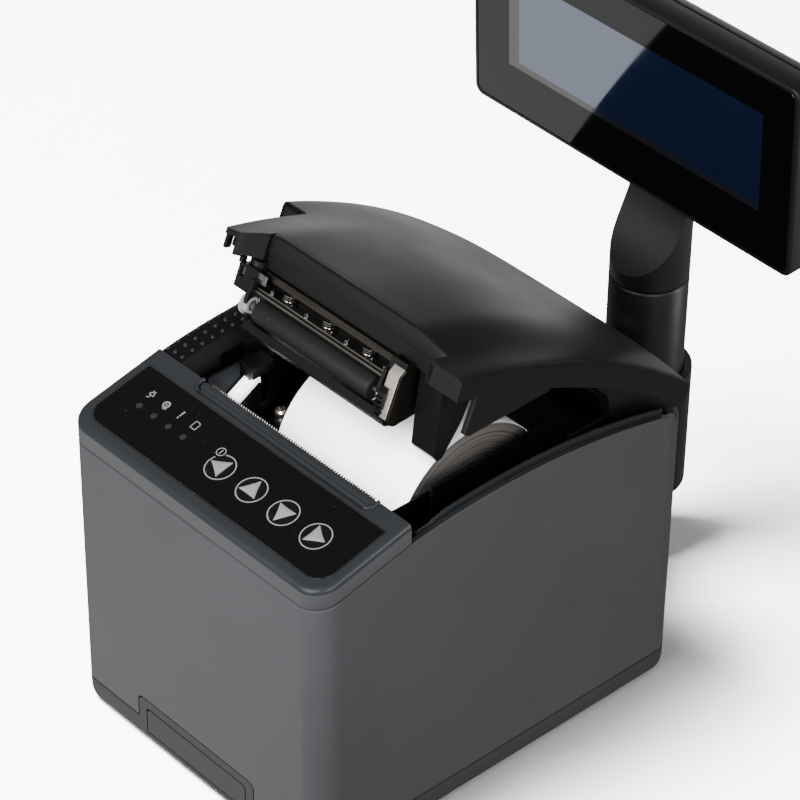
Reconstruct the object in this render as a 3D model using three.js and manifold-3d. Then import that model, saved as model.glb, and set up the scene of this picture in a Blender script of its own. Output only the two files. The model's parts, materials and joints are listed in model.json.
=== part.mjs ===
// Desktop receipt printer with a hinged paper lid and a customer display on a rear post.
// Millimetres, +Z up, front face towards -Y. Every piece is laid out in the body frame, whose
// origin is the middle of the printer body's underside; the whole object is then moved so that
// its own origin is the bottom centre of everything together, display included.
import * as THREE from 'three';
import { mergeVertices } from 'three/addons/utils/BufferGeometryUtils.js';
import Module from 'manifold-3d';

const wasm = await Module();
wasm.setup();

// ---------- driving dimensions ----------
const WIDTH = 162;                  // body width
const DEPTH = 212;                  // body depth
const CORNER = 12;                  // plan corner radius of the body
const WALL = 2.5;                   // moulded wall
const GAP = 0.3;                    // clearance between touching pieces
const FOOT_HEIGHT = 1.5;
const TRAY_TOP = 12.5;              // seam between base tray and outer case
const TRAY_INSET = 3.3;             // how far the tray's underside draws in
const TAB_HALF = 38.5;              // raised tab in the middle of the tray's front
const TAB_TOP = 25;
const DOOR_HALF = 33.7;             // service door inside the tab
const DOOR_TOP = 21;
const DOOR_BOTTOM = 6.3;
const DOOR_THICK = 2.2;               // its lower edge is round, about the hinge line
const SEAM_FRONT_Z = 143;           // seam under the front panel, at the front face
const SLOPE = THREE.MathUtils.degToRad(13.27);
const PANEL_HEIGHT = 10.5;          // front panel above its seam
const PANEL_REAR_Y = -55.5;
const RIM = { y: -4.2, z: -214.1, radius: 372.9 };     // arc of the body's side rim
const CREASE = { y: 1.7, z: -137.6, radius: 308.1 };   // arc of the closed lid's side crease
const LIP = { y: 0.1, z: -182.2, radius: 343.4, inner: 76.2, outer: 77.8 };  // second rim, inside the first
const HINGE_Y = 101.6;
const HINGE_Z = 130.3;
const LID_OPEN = THREE.MathUtils.degToRad(22.86);      // how far the lid stands open at rest
const LID_FRONT_Y = -55;
const LID_REAR_Y = 94.6;
const CROWN = { rise: 3.6, flat: 40, foot: 70, front: -20, rear: 60 };   // the lid's middle above its sides
const LID_FLANGE_GAP = 0.8;         // closed lid above the rim
const NOTCH_X = -65.3;              // lid's left edge beside the release lever
const NOTCH_Y = -8.5;
const EXIT_X = [-48, 56];           // paper exit: the trough and the lid's lip above it
const EXIT_CORNER = { left: -57, right: 62 };          // the lid's mouth widens to these
const GUIDE_ARM_X = [48.6, 62.4];   // arm under the lid that steers the paper
const ROLL = { y: 11.5, z: 116.5, radius: 41.5, left: -35.5, right: 44 };
const PLATEN = { y: -48, z: 138.5, radius: 5.5, left: -42.7, right: 36.2 };
const GEAR_MODULE = 0.75;
const PLATEN_TEETH = 20;
const IDLER_TEETH = 16;
const PINION_TEETH = 12;
const PINION_AXIS = { y: -31, z: 147.5 };
const POST = { x: 5.6, y: 156, radius: 18.2, foot: 40, swivel: 153.4 };
const DISPLAY_CENTRE_Z = 256.7;
const DISPLAY_WIDTH = 197;
const DISPLAY_HEIGHT = 93.4;
const DISPLAY_DEPTH = 22;
const DISPLAY_FACE = 20;            // face ahead of the post's axis
const DISPLAY_YAW = THREE.MathUtils.degToRad(-1);
const DISPLAY_TILT = THREE.MathUtils.degToRad(2.3);    // leans forward
const HALF_W = WIDTH / 2;
const HALF_D = DEPTH / 2;

// ---------- materials ----------
const finish = (color, roughness, metalness = 0) =>
  new THREE.MeshStandardMaterial({ color, roughness, metalness });
const material = {
  case: finish(0x5d5f62, 0.6),
  panel: finish(0x3c4248, 0.5),
  tray: finish(0x4b4846, 0.65),
  black: finish(0x232325, 0.55),
  lid: finish(0x29292b, 0.5),
  gloss: finish(0x0b0b0c, 0.12),
  amber: finish(0x6b6152, 0.4),
  steel: finish(0xb4aea4, 0.25, 1),
  spring: finish(0xc8c8ca, 0.25, 1),
  rubber: finish(0x2c2c2e, 0.85),
  white: finish(0xe6e7e9, 0.5),
  paper: finish(0xf2f1ee, 0.9),
  card: finish(0x8a6f55, 0.9),
  board: finish(0x1f5a3a, 0.6),
  blue: finish(0x0d1a3a, 0.15),
};

// ---------- solids ----------
const V = (x, y, z) => new THREE.Vector3(x, y, z);

function solidOf(geometry) {
  const bare = geometry.clone();
  bare.deleteAttribute('normal');
  bare.deleteAttribute('uv');
  const merged = mergeVertices(bare, 1e-4);
  return new wasm.Manifold(new wasm.Mesh({
    numProp: 3,
    vertProperties: new Float32Array(merged.attributes.position.array),
    triVerts: new Uint32Array(merged.index.array),
  }));
}

function geometryOf(solid) {
  const mesh = solid.getMesh();
  const geometry = new THREE.BufferGeometry();
  geometry.setAttribute('position', new THREE.BufferAttribute(mesh.vertProperties, 3));
  geometry.setIndex(new THREE.BufferAttribute(mesh.triVerts, 1));
  geometry.computeVertexNormals();
  return geometry;
}

const join = (...parts) => geometryOf(parts.map(solidOf).reduce((a, b) => a.add(b)));
const cut = (base, ...tools) =>
  geometryOf(tools.map(solidOf).reduce((a, b) => a.subtract(b), solidOf(base)));
const common = (a, b) => geometryOf(solidOf(a).intersect(solidOf(b)));

function box([x0, x1], [y0, y1], [z0, z1]) {
  const geometry = new THREE.BoxGeometry(x1 - x0, y1 - y0, z1 - z0);
  return geometry.translate((x0 + x1) / 2, (y0 + y1) / 2, (z0 + z1) / 2);
}

// Cylinder along X, Y or Z between two coordinates; a and b are its centre on the other axes.
function rod(axis, [from, to], radius, a, b, sides = 20) {
  const geometry = new THREE.CylinderGeometry(radius, radius, to - from, sides);
  const middle = (from + to) / 2;
  if (axis === 'x') return geometry.rotateZ(-Math.PI / 2).translate(middle, a, b);
  if (axis === 'z') return geometry.rotateX(Math.PI / 2).translate(a, b, middle);
  return geometry.translate(a, middle, b);
}

function outline(points) {
  return new THREE.Shape(points.map(([a, b]) => new THREE.Vector2(a, b)));
}

function extrude(shape, depth, segments = 6) {
  return new THREE.ExtrudeGeometry(shape, { depth, bevelEnabled: false, curveSegments: segments });
}

// Outline in (y, z), extruded along X from x0 to x1.
function alongX(shape, [x0, x1], segments) {
  const basis = new THREE.Matrix4().makeBasis(V(0, 1, 0), V(0, 0, 1), V(1, 0, 0));
  return extrude(shape, x1 - x0, segments).applyMatrix4(basis).translate(x0, 0, 0);
}

// Outline in (x, z), extruded along Y from y0 to y1.
function alongY(shape, [y0, y1], segments) {
  const basis = new THREE.Matrix4().makeBasis(V(1, 0, 0), V(0, 0, 1), V(0, -1, 0));
  return extrude(shape, y1 - y0, segments).applyMatrix4(basis).translate(0, y1, 0);
}

const alongZ = (shape, [z0, z1], segments) => extrude(shape, z1 - z0, segments).translate(0, 0, z0);

// Rectangle with corner radii given as [front left, front right, rear right, rear left].
function rounded(x0, x1, y0, y1, radii) {
  const [a, b, c, d] = Array.isArray(radii) ? radii : [radii, radii, radii, radii];
  const shape = new THREE.Shape();
  shape.moveTo(x0 + a, y0);
  shape.lineTo(x1 - b, y0);
  if (b) shape.absarc(x1 - b, y0 + b, b, -Math.PI / 2, 0, false);
  shape.lineTo(x1, y1 - c);
  if (c) shape.absarc(x1 - c, y1 - c, c, 0, Math.PI / 2, false);
  shape.lineTo(x0 + d, y1);
  if (d) shape.absarc(x0 + d, y1 - d, d, Math.PI / 2, Math.PI, false);
  shape.lineTo(x0, y0 + a);
  if (a) shape.absarc(x0 + a, y0 + a, a, Math.PI, Math.PI * 1.5, false);
  return shape;
}

// Closed body through a stack of rings with the same number of points, capped at both ends.
function ringStack(rings, flat) {
  const count = rings[0].length;
  const positions = rings.flat().flatMap((p) => [p.x, p.y, p.z]);
  const faces = [];
  for (let r = 0; r + 1 < rings.length; r += 1) {
    for (let i = 0; i < count; i += 1) {
      const j = (i + 1) % count;
      const [a, b, c, d] = [r * count + i, r * count + j, (r + 1) * count + j, (r + 1) * count + i];
      faces.push(a, b, c, a, c, d);
    }
  }
  const cap = (ring) => THREE.ShapeUtils.triangulateShape(ring.map(flat), []);
  const last = (rings.length - 1) * count;
  for (const [a, b, c] of cap(rings[0])) faces.push(a, c, b);
  for (const [a, b, c] of cap(rings[rings.length - 1])) faces.push(last + a, last + b, last + c);
  const geometry = new THREE.BufferGeometry();
  geometry.setAttribute('position', new THREE.Float32BufferAttribute(positions, 3));
  geometry.setIndex(pointsOut(rings.flat(), faces) ? faces : faces.reverse());
  return geometry;
}

// True where the faces of a closed body point outwards, from the sign of its volume.
function pointsOut(points, faces) {
  let volume = 0;
  for (let i = 0; i < faces.length; i += 3) {
    const [a, b, c] = [points[faces[i]], points[faces[i + 1]], points[faces[i + 2]]];
    volume += a.dot(b.clone().cross(c));
  }
  return volume > 0;
}

// Body through horizontal copies of a rounded rectangle; lift(y) tilts a level that follows a slope.
function plates(levels, lift = () => 0) {
  const rings = levels.map(({ shape, z }) =>
    shape.getPoints(5).slice(0, -1).map((p) => V(p.x, p.y, z + lift(p.y))));
  return ringStack(rings, (p) => new THREE.Vector2(p.x, p.y));
}

function lathe(profile, sides = 32) {
  const points = profile.map(([radius, height]) => new THREE.Vector2(radius, height));
  return new THREE.LatheGeometry(points, sides).rotateX(Math.PI / 2);
}

// Tube along X.
function tube([x0, x1], outer, inner, y, z, sides = 32) {
  const profile = [[inner, x0], [outer, x0], [outer, x1], [inner, x1], [inner, x0]];
  return lathe(profile, sides).rotateY(Math.PI / 2).translate(0, y, z);
}

const arcZ = (arc, y, offset = 0) => arc.z + Math.sqrt((arc.radius + offset) ** 2 - (y - arc.y) ** 2);

function steps(from, to, count) {
  return Array.from({ length: count + 1 }, (_, i) => from + ((to - from) * i) / count);
}

// ---------- scene graph ----------
const printer = new THREE.Group();
const body = new THREE.Group();
const lidHinge = new THREE.Group();
const lid = new THREE.Group();
lidHinge.position.set(0, HINGE_Y, HINGE_Z);
lidHinge.rotation.x = -LID_OPEN;
lid.position.set(0, -HINGE_Y, -HINGE_Z);
lidHinge.add(lid);
body.add(lidHinge);
printer.add(body);

function add(name, look, geometry, parent = body) {
  const mesh = new THREE.Mesh(geometry, material[look]);
  mesh.name = name;
  parent.add(mesh);
  return mesh;
}

// ---------- body: outer case ----------
const LEVER = { left: -80.4, right: -66, front: -54.9, rear: -9.4, pivotY: -19.4, pivotZ: 138 };
const seamZ = (y) => SEAM_FRONT_Z + (y + HALF_D) * Math.tan(SLOPE);
const slopeLift = (y) => (y + HALF_D) * Math.tan(SLOPE);
const bodyOutline = (inset) => rounded(
  -HALF_W + inset, HALF_W - inset, -HALF_D + inset, HALF_D - inset, CORNER - inset);
const REAR_WALL_TOP = 141;
const HINGE_ARM_X = [66, 72];
const ARM_ROOM = 0.8;

function outerCase() {
  const rim = steps(PANEL_REAR_Y, 97, 14).map((y) => [y, arcZ(RIM, y)]);
  const side = outline([
    [-HALF_D - 1, TRAY_TOP + GAP], [HALF_D + 1, TRAY_TOP + GAP], [HALF_D + 1, REAR_WALL_TOP],
    [HALF_D - 3, REAR_WALL_TOP], ...rim.reverse(), [PANEL_REAR_Y - 0.2, seamZ(PANEL_REAR_Y - 0.2)],
    [-HALF_D - 1, seamZ(-HALF_D - 1)],
  ]);
  const shell = cut(
    common(alongZ(bodyOutline(0), [0, 180]), alongX(side, [-HALF_W - 1, HALF_W + 1])),
    alongZ(bodyOutline(WALL), [0, 200]));
  const lugs = [-1, 1].flatMap((s) => [
    [HINGE_ARM_X[0] - ARM_ROOM - 2.4, HINGE_ARM_X[0] - ARM_ROOM],
    [HINGE_ARM_X[1] + ARM_ROOM, HINGE_ARM_X[1] + ARM_ROOM + 2.4],
  ].map((x) => box(x.map((v) => s * v).sort((a, b) => a - b), [97, 104.5], [121, 136])));
  const cuts = [-1, 1].flatMap((s) => {
    const arm = HINGE_ARM_X.map((v) => s * v).sort((a, b) => a - b);
    const wide = [arm[0] - ARM_ROOM, arm[1] + ARM_ROOM];
    return [box(wide, [96, 107], [122.5, 160])];
  });
  const pinHoles = [-1, 1].map((s) => rod('x', [s * 69 - 6.2, s * 69 + 6.2], 1.9, HINGE_Y, HINGE_Z));
  const leverPivot = rod('x', [-HALF_W + 1, LEVER.left + 8.4], 1.9, LEVER.pivotY, LEVER.pivotZ);
  const tab = box([-TAB_HALF - GAP, TAB_HALF + GAP], [-108, -100], [0, TAB_TOP + GAP]);
  const rearPanel = box([-62, 30], [100, 108], [0, 46]);
  return cut(join(shell, ...lugs, leverPivot, innerLip(1, -50), innerLip(-1, LEVER.rear + 4)),
    ...cuts, ...pinHoles, tab, rearPanel);
}

// Thin second rim on one side, standing above the outer one across a narrow groove. It steps
// down twice near the front, where the lid's latch comes in.
function innerLip(side, from) {
  const rear = 88;
  const root = 6;                   // depth of its foot below the outer rim
  const grooveDepth = 2;
  const stepsDown = [{ y: -35.2, by: 0.6 }, { y: -40.6, by: 1.2 }];
  const lowered = (y) => stepsDown.reduce((sum, step) => sum + (y < step.y ? step.by : 0), 0);
  const course = steps(from, rear, 20);
  const low = course.map((y) => [y, arcZ(RIM, y) - root]);
  const plate = outline([...low, ...course.map((y) => [y, arcZ(LIP, y) - lowered(y)]).reverse()]);
  const web = outline([...low, ...course.map((y) => [y, arcZ(RIM, y) - grooveDepth]).reverse()]);
  const place = (x0, x1) => (side > 0 ? [x0, x1] : [-x1, -x0]);
  return join(alongX(plate, place(LIP.inner, LIP.outer)),
    alongX(web, place(LIP.outer - 0.1, HALF_W - WALL + 0.1)));
}
add('outer_case', 'case', outerCase());

// ---------- body: base tray, service door, feet ----------
function baseTray() {
  const low = FOOT_HEIGHT;
  const floor = plates([
    { shape: bodyOutline(TRAY_INSET), z: low }, { shape: bodyOutline(0.6), z: low + 5 },
    { shape: bodyOutline(0), z: low + 7 }, { shape: bodyOutline(0), z: TRAY_TOP },
  ]);
  const hollow = alongZ(bodyOutline(WALL + TRAY_INSET), [low + WALL, TRAY_TOP + 1]);
  const tab = alongY(rounded(-TAB_HALF, TAB_HALF, 6, TAB_TOP, [0, 0, 3, 3]), [-HALF_D, -HALF_D + 3]);
  const opening = alongY(
    rounded(-DOOR_HALF, DOOR_HALF, DOOR_BOTTOM, DOOR_TOP, [0, 0, 2, 2]), [-HALF_D - 2, -HALF_D + 6.5]);
  const backPlate = box([-60, 28], [HALF_D - WALL, HALF_D - 1], [6, 44]);
  const sockets = REAR_SOCKETS.map(({ x, z, width, height }) => box(
    [x - width / 2 - GAP, x + width / 2 + GAP], [100, 110],
    [z - height / 2 - GAP, z + height / 2 + GAP]));
  return cut(join(cut(floor, hollow), tab, backPlate), opening, ...sockets);
}

const REAR_SOCKETS = [
  { name: 'power_socket', x: -46, z: 30, width: 14, height: 12, hole: 9 },
  { name: 'usb_socket', x: -25, z: 29, width: 12.5, height: 11, hole: 7 },
  { name: 'serial_socket', x: -5, z: 29.5, width: 16, height: 14, hole: 11 },
  { name: 'drawer_socket', x: 16, z: 29.5, width: 12, height: 12.5, hole: 9 },
];
const SOCKET_DEPTH = 14;
add('base_tray', 'tray', baseTray());
for (const { name, x, z, width, height, hole } of REAR_SOCKETS) {
  const shell = box([x - width / 2, x + width / 2], [HALF_D - SOCKET_DEPTH, HALF_D - 0.6],
    [z - height / 2, z + height / 2]);
  const mouth = box([x - hole / 2, x + hole / 2], [HALF_D - SOCKET_DEPTH + 2, HALF_D + 1],
    [z - hole * 0.4, z + hole * 0.4]);
  add(name, 'black', cut(shell, mouth));
}


function serviceDoor() {
  const hinge = { y: -HALF_D + DOOR_THICK / 2, z: DOOR_BOTTOM + GAP + DOOR_THICK / 2 };
  const width = [-DOOR_HALF + GAP, DOOR_HALF - GAP];
  const leaf = alongY(rounded(...width, hinge.z, DOOR_TOP - GAP, [0, 0, 2, 2]),
    [-HALF_D, -HALF_D + DOOR_THICK]);
  return join(leaf, rod('x', width, DOOR_THICK / 2, hinge.y, hinge.z, 24));
}
add('service_door', 'tray', serviceDoor());

for (const [name, sx, sy] of [['foot_front_left', -1, -1], ['foot_front_right', 1, -1],
  ['foot_rear_left', -1, 1], ['foot_rear_right', 1, 1]]) {
  const foot = lathe([[0, 0], [6.4, 0], [7, 0.6], [7, FOOT_HEIGHT - GAP], [0, FOOT_HEIGHT - GAP]], 24);
  add(name, 'rubber', foot.translate(sx * 62, sy * 86, 0));
}

// ---------- body: front panel with membrane, keys and paper exit ----------
const panelGroup = new THREE.Group();
panelGroup.position.set(0, -HALF_D, SEAM_FRONT_Z + PANEL_HEIGHT);
panelGroup.rotation.x = SLOPE;
body.add(panelGroup);
const MEMBRANE = { half: 76, front: 5.7, rear: 42.8, depth: 1 };
const KEY_S = 22.6;
const KEY_FIRST_X = -5.46;
const KEY_PITCH = 20.08;
const KEY_RADIUS = 6.1;
const KEY_NAMES = ['key_clear', 'key_up', 'key_down', 'key_confirm'];
const LED_S = 23.9;
const LED_X = [-60.4, -50.7, -41.1, -31.4];

const onSlope = (geometry) => geometry.rotateX(SLOPE)
  .translate(0, -HALF_D, SEAM_FRONT_Z + PANEL_HEIGHT);

function frontPanel() {
  const ring = (inset) => rounded(-HALF_W + inset, HALF_W - inset, -HALF_D + inset,
    PANEL_REAR_Y - GAP, [CORNER - inset, CORNER - inset, 0, 0]);
  const top = SEAM_FRONT_Z + PANEL_HEIGHT;
  const outer = plates([
    { shape: ring(0), z: SEAM_FRONT_Z + GAP }, { shape: ring(0), z: top - 3.4 },
    { shape: ring(0.9), z: top - 1.2 }, { shape: ring(2.2), z: top - 0.3 }, { shape: ring(3.6), z: top },
  ], slopeLift);
  const inner = plates([
    { shape: rounded(-HALF_W + WALL, HALF_W - WALL, -HALF_D + WALL, PANEL_REAR_Y - 2.4, 4),
      z: SEAM_FRONT_Z - 2 },
    { shape: rounded(-HALF_W + WALL, HALF_W - WALL, -HALF_D + WALL, PANEL_REAR_Y - 2.4, 4),
      z: top - 4.2 },
  ], slopeLift);
  const recess = onSlope(alongZ(rounded(-MEMBRANE.half, MEMBRANE.half, MEMBRANE.front,
    MEMBRANE.rear, [9, 9, 1, 1]), [-MEMBRANE.depth, 3]));
  const wells = KEY_NAMES.flatMap((_, i) => [
    rod('z', [-8, 1], KEY_RADIUS - 0.6, KEY_FIRST_X + i * KEY_PITCH, KEY_S),
    rod('z', [-2.3, 1], KEY_RADIUS + 0.4, KEY_FIRST_X + i * KEY_PITCH, KEY_S, 28),
  ].map(onSlope));
  const guides = LED_X.map((x) => onSlope(rod('z', [-8, 1], 1.9, x, LED_S, 12)));
  const outerStep = onSlope(alongZ(rounded(EXIT_X[0] - 4, EXIT_X[1] + 6, 45.4, 60, [5, 5, 0, 0]), [-1.3, 3]));
  const innerStep = onSlope(alongZ(rounded(EXIT_X[0], EXIT_X[1] + 2, 48.2, 60, [4, 4, 0, 0]), [-2.6, 3]));
  return cut(outer, inner, recess, ...wells, ...guides, outerStep, innerStep);
}
add('front_panel', 'panel', frontPanel());

function membrane() {
  const sheet = alongZ(rounded(-MEMBRANE.half + GAP, MEMBRANE.half - GAP, MEMBRANE.front + GAP,
    MEMBRANE.rear - GAP, [8.7, 8.7, 0.8, 0.8]), [-MEMBRANE.depth + 0.25, -0.05], 8);
  const holes = KEY_NAMES.map((_, i) =>
    rod('z', [-3, 2], KEY_RADIUS + 0.35, KEY_FIRST_X + i * KEY_PITCH, KEY_S, 28));
  const windows = LED_X.map((x) => rod('z', [-3, 2], 1.9, x, LED_S, 12));
  return cut(sheet, ...holes, ...windows);
}
add('panel_membrane', 'gloss', membrane(), panelGroup);

KEY_NAMES.forEach((name, i) => {
  const cap = lathe([[0, -2.6], [KEY_RADIUS - 1.2, -2.6], [KEY_RADIUS - 1.2, -0.72],
    [KEY_RADIUS, -0.72], [KEY_RADIUS, 0.05], [KEY_RADIUS - 0.4, 0.3], [0, 0.45]], 28);
  add(name, 'gloss', cap.translate(KEY_FIRST_X + i * KEY_PITCH, KEY_S, 0), panelGroup);
});

const guideBar = box([LED_X[0] - 4, LED_X[3] + 4], [LED_S - 3, LED_S + 3], [-6.6, -4.6]);
add('led_light_guide', 'amber', join(guideBar,
  ...LED_X.map((x) => rod('z', [-5, -0.1], 1.6, x, LED_S, 12))), panelGroup);

// Serrated steel strip along the rear edge of the exit trough.
function tearBar() {
  const teeth = 66;
  const [from, to] = [EXIT_X[0] + 4.5, EXIT_X[1] - 0.5];
  const pitch = (to - from) / teeth;
  const edge = steps(0, teeth, teeth * 2).map((t, i) => [from + t * pitch, i % 2 ? 1.2 : 0]);
  const blade = outline([[to, -2.4], ...edge.reverse(), [from, -2.4]].reverse());
  return alongZ(blade, [0, 0.6]);
}
const bar = add('tear_bar', 'steel', tearBar(), panelGroup);
bar.position.set(0, 51.9, -2.2);

// ---------- body: lid release lever ----------
function releaseLever() {
  const top = steps(LEVER.front, LEVER.rear, 8).map((y) => [y, arcZ(CREASE, y, -0.2)]);
  const under = steps(LEVER.front, LEVER.rear, 8).map((y) => [y, arcZ(RIM, y) + 1]);
  const strip = alongX(outline([...under, ...top.reverse()]), [LEVER.left, LEVER.right]);
  const stemX = [LEVER.left + 3.2, LEVER.left + 7.2];
  const stem = box(stemX, [LEVER.pivotY - 5, LEVER.pivotY + 5], [LEVER.pivotZ, 163]);
  const hub = rod('x', stemX, 5, LEVER.pivotY, LEVER.pivotZ);
  const bore = rod('x', [LEVER.left + 2, LEVER.left + 9], 2.2, LEVER.pivotY, LEVER.pivotZ);
  return cut(join(strip, stem, hub), bore);
}
add('release_lever', 'black', releaseLever());

// ---------- body: paper well and what is in it ----------
const WELL = { left: -63, right: 54.5, front: -57.5, rear: 92, floor: 68, wall: 150 };
const WELL_WALL = 2;
const SIDE_LEDGE = { reach: 78.2, rear: 70, right: [131.5, 133.5], left: [125, 127] };
const LEFT_FLOOR = 121;             // floor of the space left of the roll
const LEFT_WALL_LOW = 127;          // the left wall's top beside the inner plate
function paperWell() {
  const inside = [WELL.left + WELL_WALL, WELL.right - WELL_WALL];
  const block = box([WELL.left, WELL.right], [WELL.front, WELL.rear], [WELL.floor, WELL.wall]);
  const roll = rod('x', [-37.5, inside[1]], ROLL.radius + 2, ROLL.y, ROLL.z, 40);
  const above = box([-37.5, inside[1]], [ROLL.y - 43.5, ROLL.y + 43.5], [ROLL.z, 160]);
  const front = box(inside, [WELL.front - 1, -18], [124, 160]);
  const leftStep = box([WELL.left - 1, -36], [WELL.front - 1, -12], [LEFT_WALL_LOW, 160]);
  const left = box([inside[0], -36], [WELL.front + 2, WELL.rear - 2], [LEFT_FLOOR, 160]);
  const rear = box([-36, inside[1]], [50, WELL.rear - 2], [128, 160]);
  const rearWall = box([WELL.left - 1, WELL.right + 1], [58, WELL.rear + 1], [136, 160]);
  const below = box([-35, WELL.right - 4], [WELL.front + 3, -33], [66, LEFT_FLOOR]);
  const behind = box([WELL.left + 3, WELL.right - 4], [58, WELL.rear - 3], [66, 125]);
  const underLeft = box([WELL.left + 3, -40], [WELL.front + 3, 55], [66, 118]);
  const armSlot = box([GUIDE_ARM_X[0] - 1, GUIDE_ARM_X[1] + 1], [-46, -20], [117.4, WELL.wall + 1]);
  const shell = cut(block, roll, above, front, leftStep, left, rear, rearWall, below, behind, underLeft,
    armSlot);
  const rightLedge = cut(box([WELL.right - 0.1, SIDE_LEDGE.reach], [WELL.front, SIDE_LEDGE.rear],
    SIDE_LEDGE.right), armSlot);
  const leftLedge = box([-SIDE_LEDGE.reach, WELL.left + 0.1], [WELL.front, SIDE_LEDGE.rear],
    SIDE_LEDGE.left);
  return join(shell, rightLedge, leftLedge);
}
add('paper_well', 'black', paperWell());

const INNER_PLATE_X = [-63, -61.3];
add('inner_plate', 'panel', box(INNER_PLATE_X, [-44.5, -26.5], [LEFT_WALL_LOW + GAP, 154]));
add('latch_bracket', 'black', join(
  box([-62.6, -53.5], [-26, -14], [148.4, 154]),
  box([-60.7, -56.7], [-25.5, -19], [LEFT_FLOOR + GAP, 149])));
// White rail running down and forward from under the latch bracket.
add('guide_rail', 'white', alongX(outline([
  [-52, LEFT_FLOOR + GAP], [-26, LEFT_FLOOR + GAP], [-26, 145], [-27, 146], [-34, 142], [-50, 131],
  [-52, 129]]), [-60.9, -52.4]));
add('well_screw', 'steel', cut(
  lathe([[0, 2.4], [2.9, 2.4], [2.9, 4.2], [2.1, 5.2], [0, 5.4]], 20)
    .translate(-55, -9.3, 118.9),
  box([-57.4, -52.6], [-9.6, -9], [123.4, 125]), box([-55.3, -54.7], [-11.7, -6.9], [123.4, 125])));

add('paper_roll', 'paper', tube([ROLL.left, ROLL.right], ROLL.radius, 13.2, ROLL.y, ROLL.z, 56));
add('roll_core', 'card', tube([ROLL.left, ROLL.right], 12.9, 11.2, ROLL.y, ROLL.z, 36));
add('main_board', 'board', box([-70, 66], [-90, 88], [52, 53.6]));
add('fiscal_memory', 'black', box([12, 60], [-84, -58], [53.9, 66]));

// ---------- body: hinge pins and rear bracket with post ----------
for (const [name, s] of [['hinge_pin_left', -1], ['hinge_pin_right', 1]]) {
  add(name, 'steel', rod('x', [s * 69 - 5.6, s * 69 + 5.6], 1.6, HINGE_Y, HINGE_Z));
}

function rearBracket() {
  const plate = alongY(rounded(POST.x - 30, POST.x + 30, 52, 104, 5), [HALF_D + GAP, HALF_D + 4.5]);
  const arm = box([POST.x - 15, POST.x + 15], [HALF_D + 2, POST.y], [56, 96]);
  const socket = rod('z', [POST.foot, 104], POST.radius + 4, POST.x, POST.y, 36);
  const bore = rod('z', [POST.foot + 4, 120], POST.radius + GAP, POST.x, POST.y, 36);
  const ribSpace = [-1, 1].map((s) => box(
    [POST.x + (s > 0 ? 3 : -13), POST.x + (s > 0 ? 13 : -3)], [HALF_D + 7, POST.y - 24], [50, 90]));
  return cut(join(plate, arm, socket), bore, ...ribSpace);
}
add('rear_bracket', 'black', rearBracket());
add('post_tube', 'black', lathe([[0, POST.foot + 4.3], [POST.radius, POST.foot + 4.3],
  [POST.radius, POST.swivel - 1.2], [POST.radius - 0.8, POST.swivel - GAP], [0, POST.swivel - GAP]], 40)
  .translate(POST.x, POST.y, 0));

// ---------- display: swivel head ----------
const display = new THREE.Group();
display.position.set(POST.x, POST.y, 0);
display.rotation.z = DISPLAY_YAW;
body.add(display);
const SCOOP = { y: -56.5, z: 212, radius: 62 };
const BLADE_FRONT = SCOOP.y + SCOOP.radius;
const TILT_PIN = { y: 8.6, z: DISPLAY_CENTRE_Z };

function swivelHead() {
  const head = lathe([[0, POST.swivel + GAP], [POST.radius - 0.8, POST.swivel + GAP],
    [POST.radius, POST.swivel + 1.2], [POST.radius, 262], [POST.radius - 4, 267], [0, 267]], 40);
  const scoop = rod('x', [-30, 30], SCOOP.radius, SCOOP.y, SCOOP.z, 72);
  const front = box([-30, 30], [-30, BLADE_FRONT], [SCOOP.z, 280]);
  const sides = [-1, 1].map((s) => box(
    [Math.min(s * 9.4, s * 30), Math.max(s * 9.4, s * 30)], [-30, 30], [240, 280]));
  const bore = rod('x', [-20, 20], 2.6, TILT_PIN.y, TILT_PIN.z, 20);
  return cut(head, scoop, front, ...sides, bore);
}
add('swivel_head', 'black', swivelHead(), display);

// ---------- display: tilting housing ----------
const tilt = new THREE.Group();
tilt.position.set(0, TILT_PIN.y, TILT_PIN.z);
tilt.rotation.x = DISPLAY_TILT;
display.add(tilt);
const panelY = -DISPLAY_FACE - TILT_PIN.y;
const faceRing = (inset, radius) => rounded(-DISPLAY_WIDTH / 2 + inset, DISPLAY_WIDTH / 2 - inset,
  -DISPLAY_HEIGHT / 2 + inset, DISPLAY_HEIGHT / 2 - inset, radius);
// Stack of upright rounded rectangles at given distances behind the face.
function upright(levels) {
  const rings = levels.map(({ inset, radius, back }) =>
    faceRing(inset, radius).getPoints(5).slice(0, -1).map((p) => V(p.x, panelY + back, p.y)));
  return ringStack(rings, (p) => new THREE.Vector2(p.x, p.z));
}
const SEAM_BACK = 12.5;
const GLASS = { inset: 2.4, thick: 1.4 };
const LCD = { x: 3.3, z: 2.8, width: 151, height: 48 };

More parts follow.
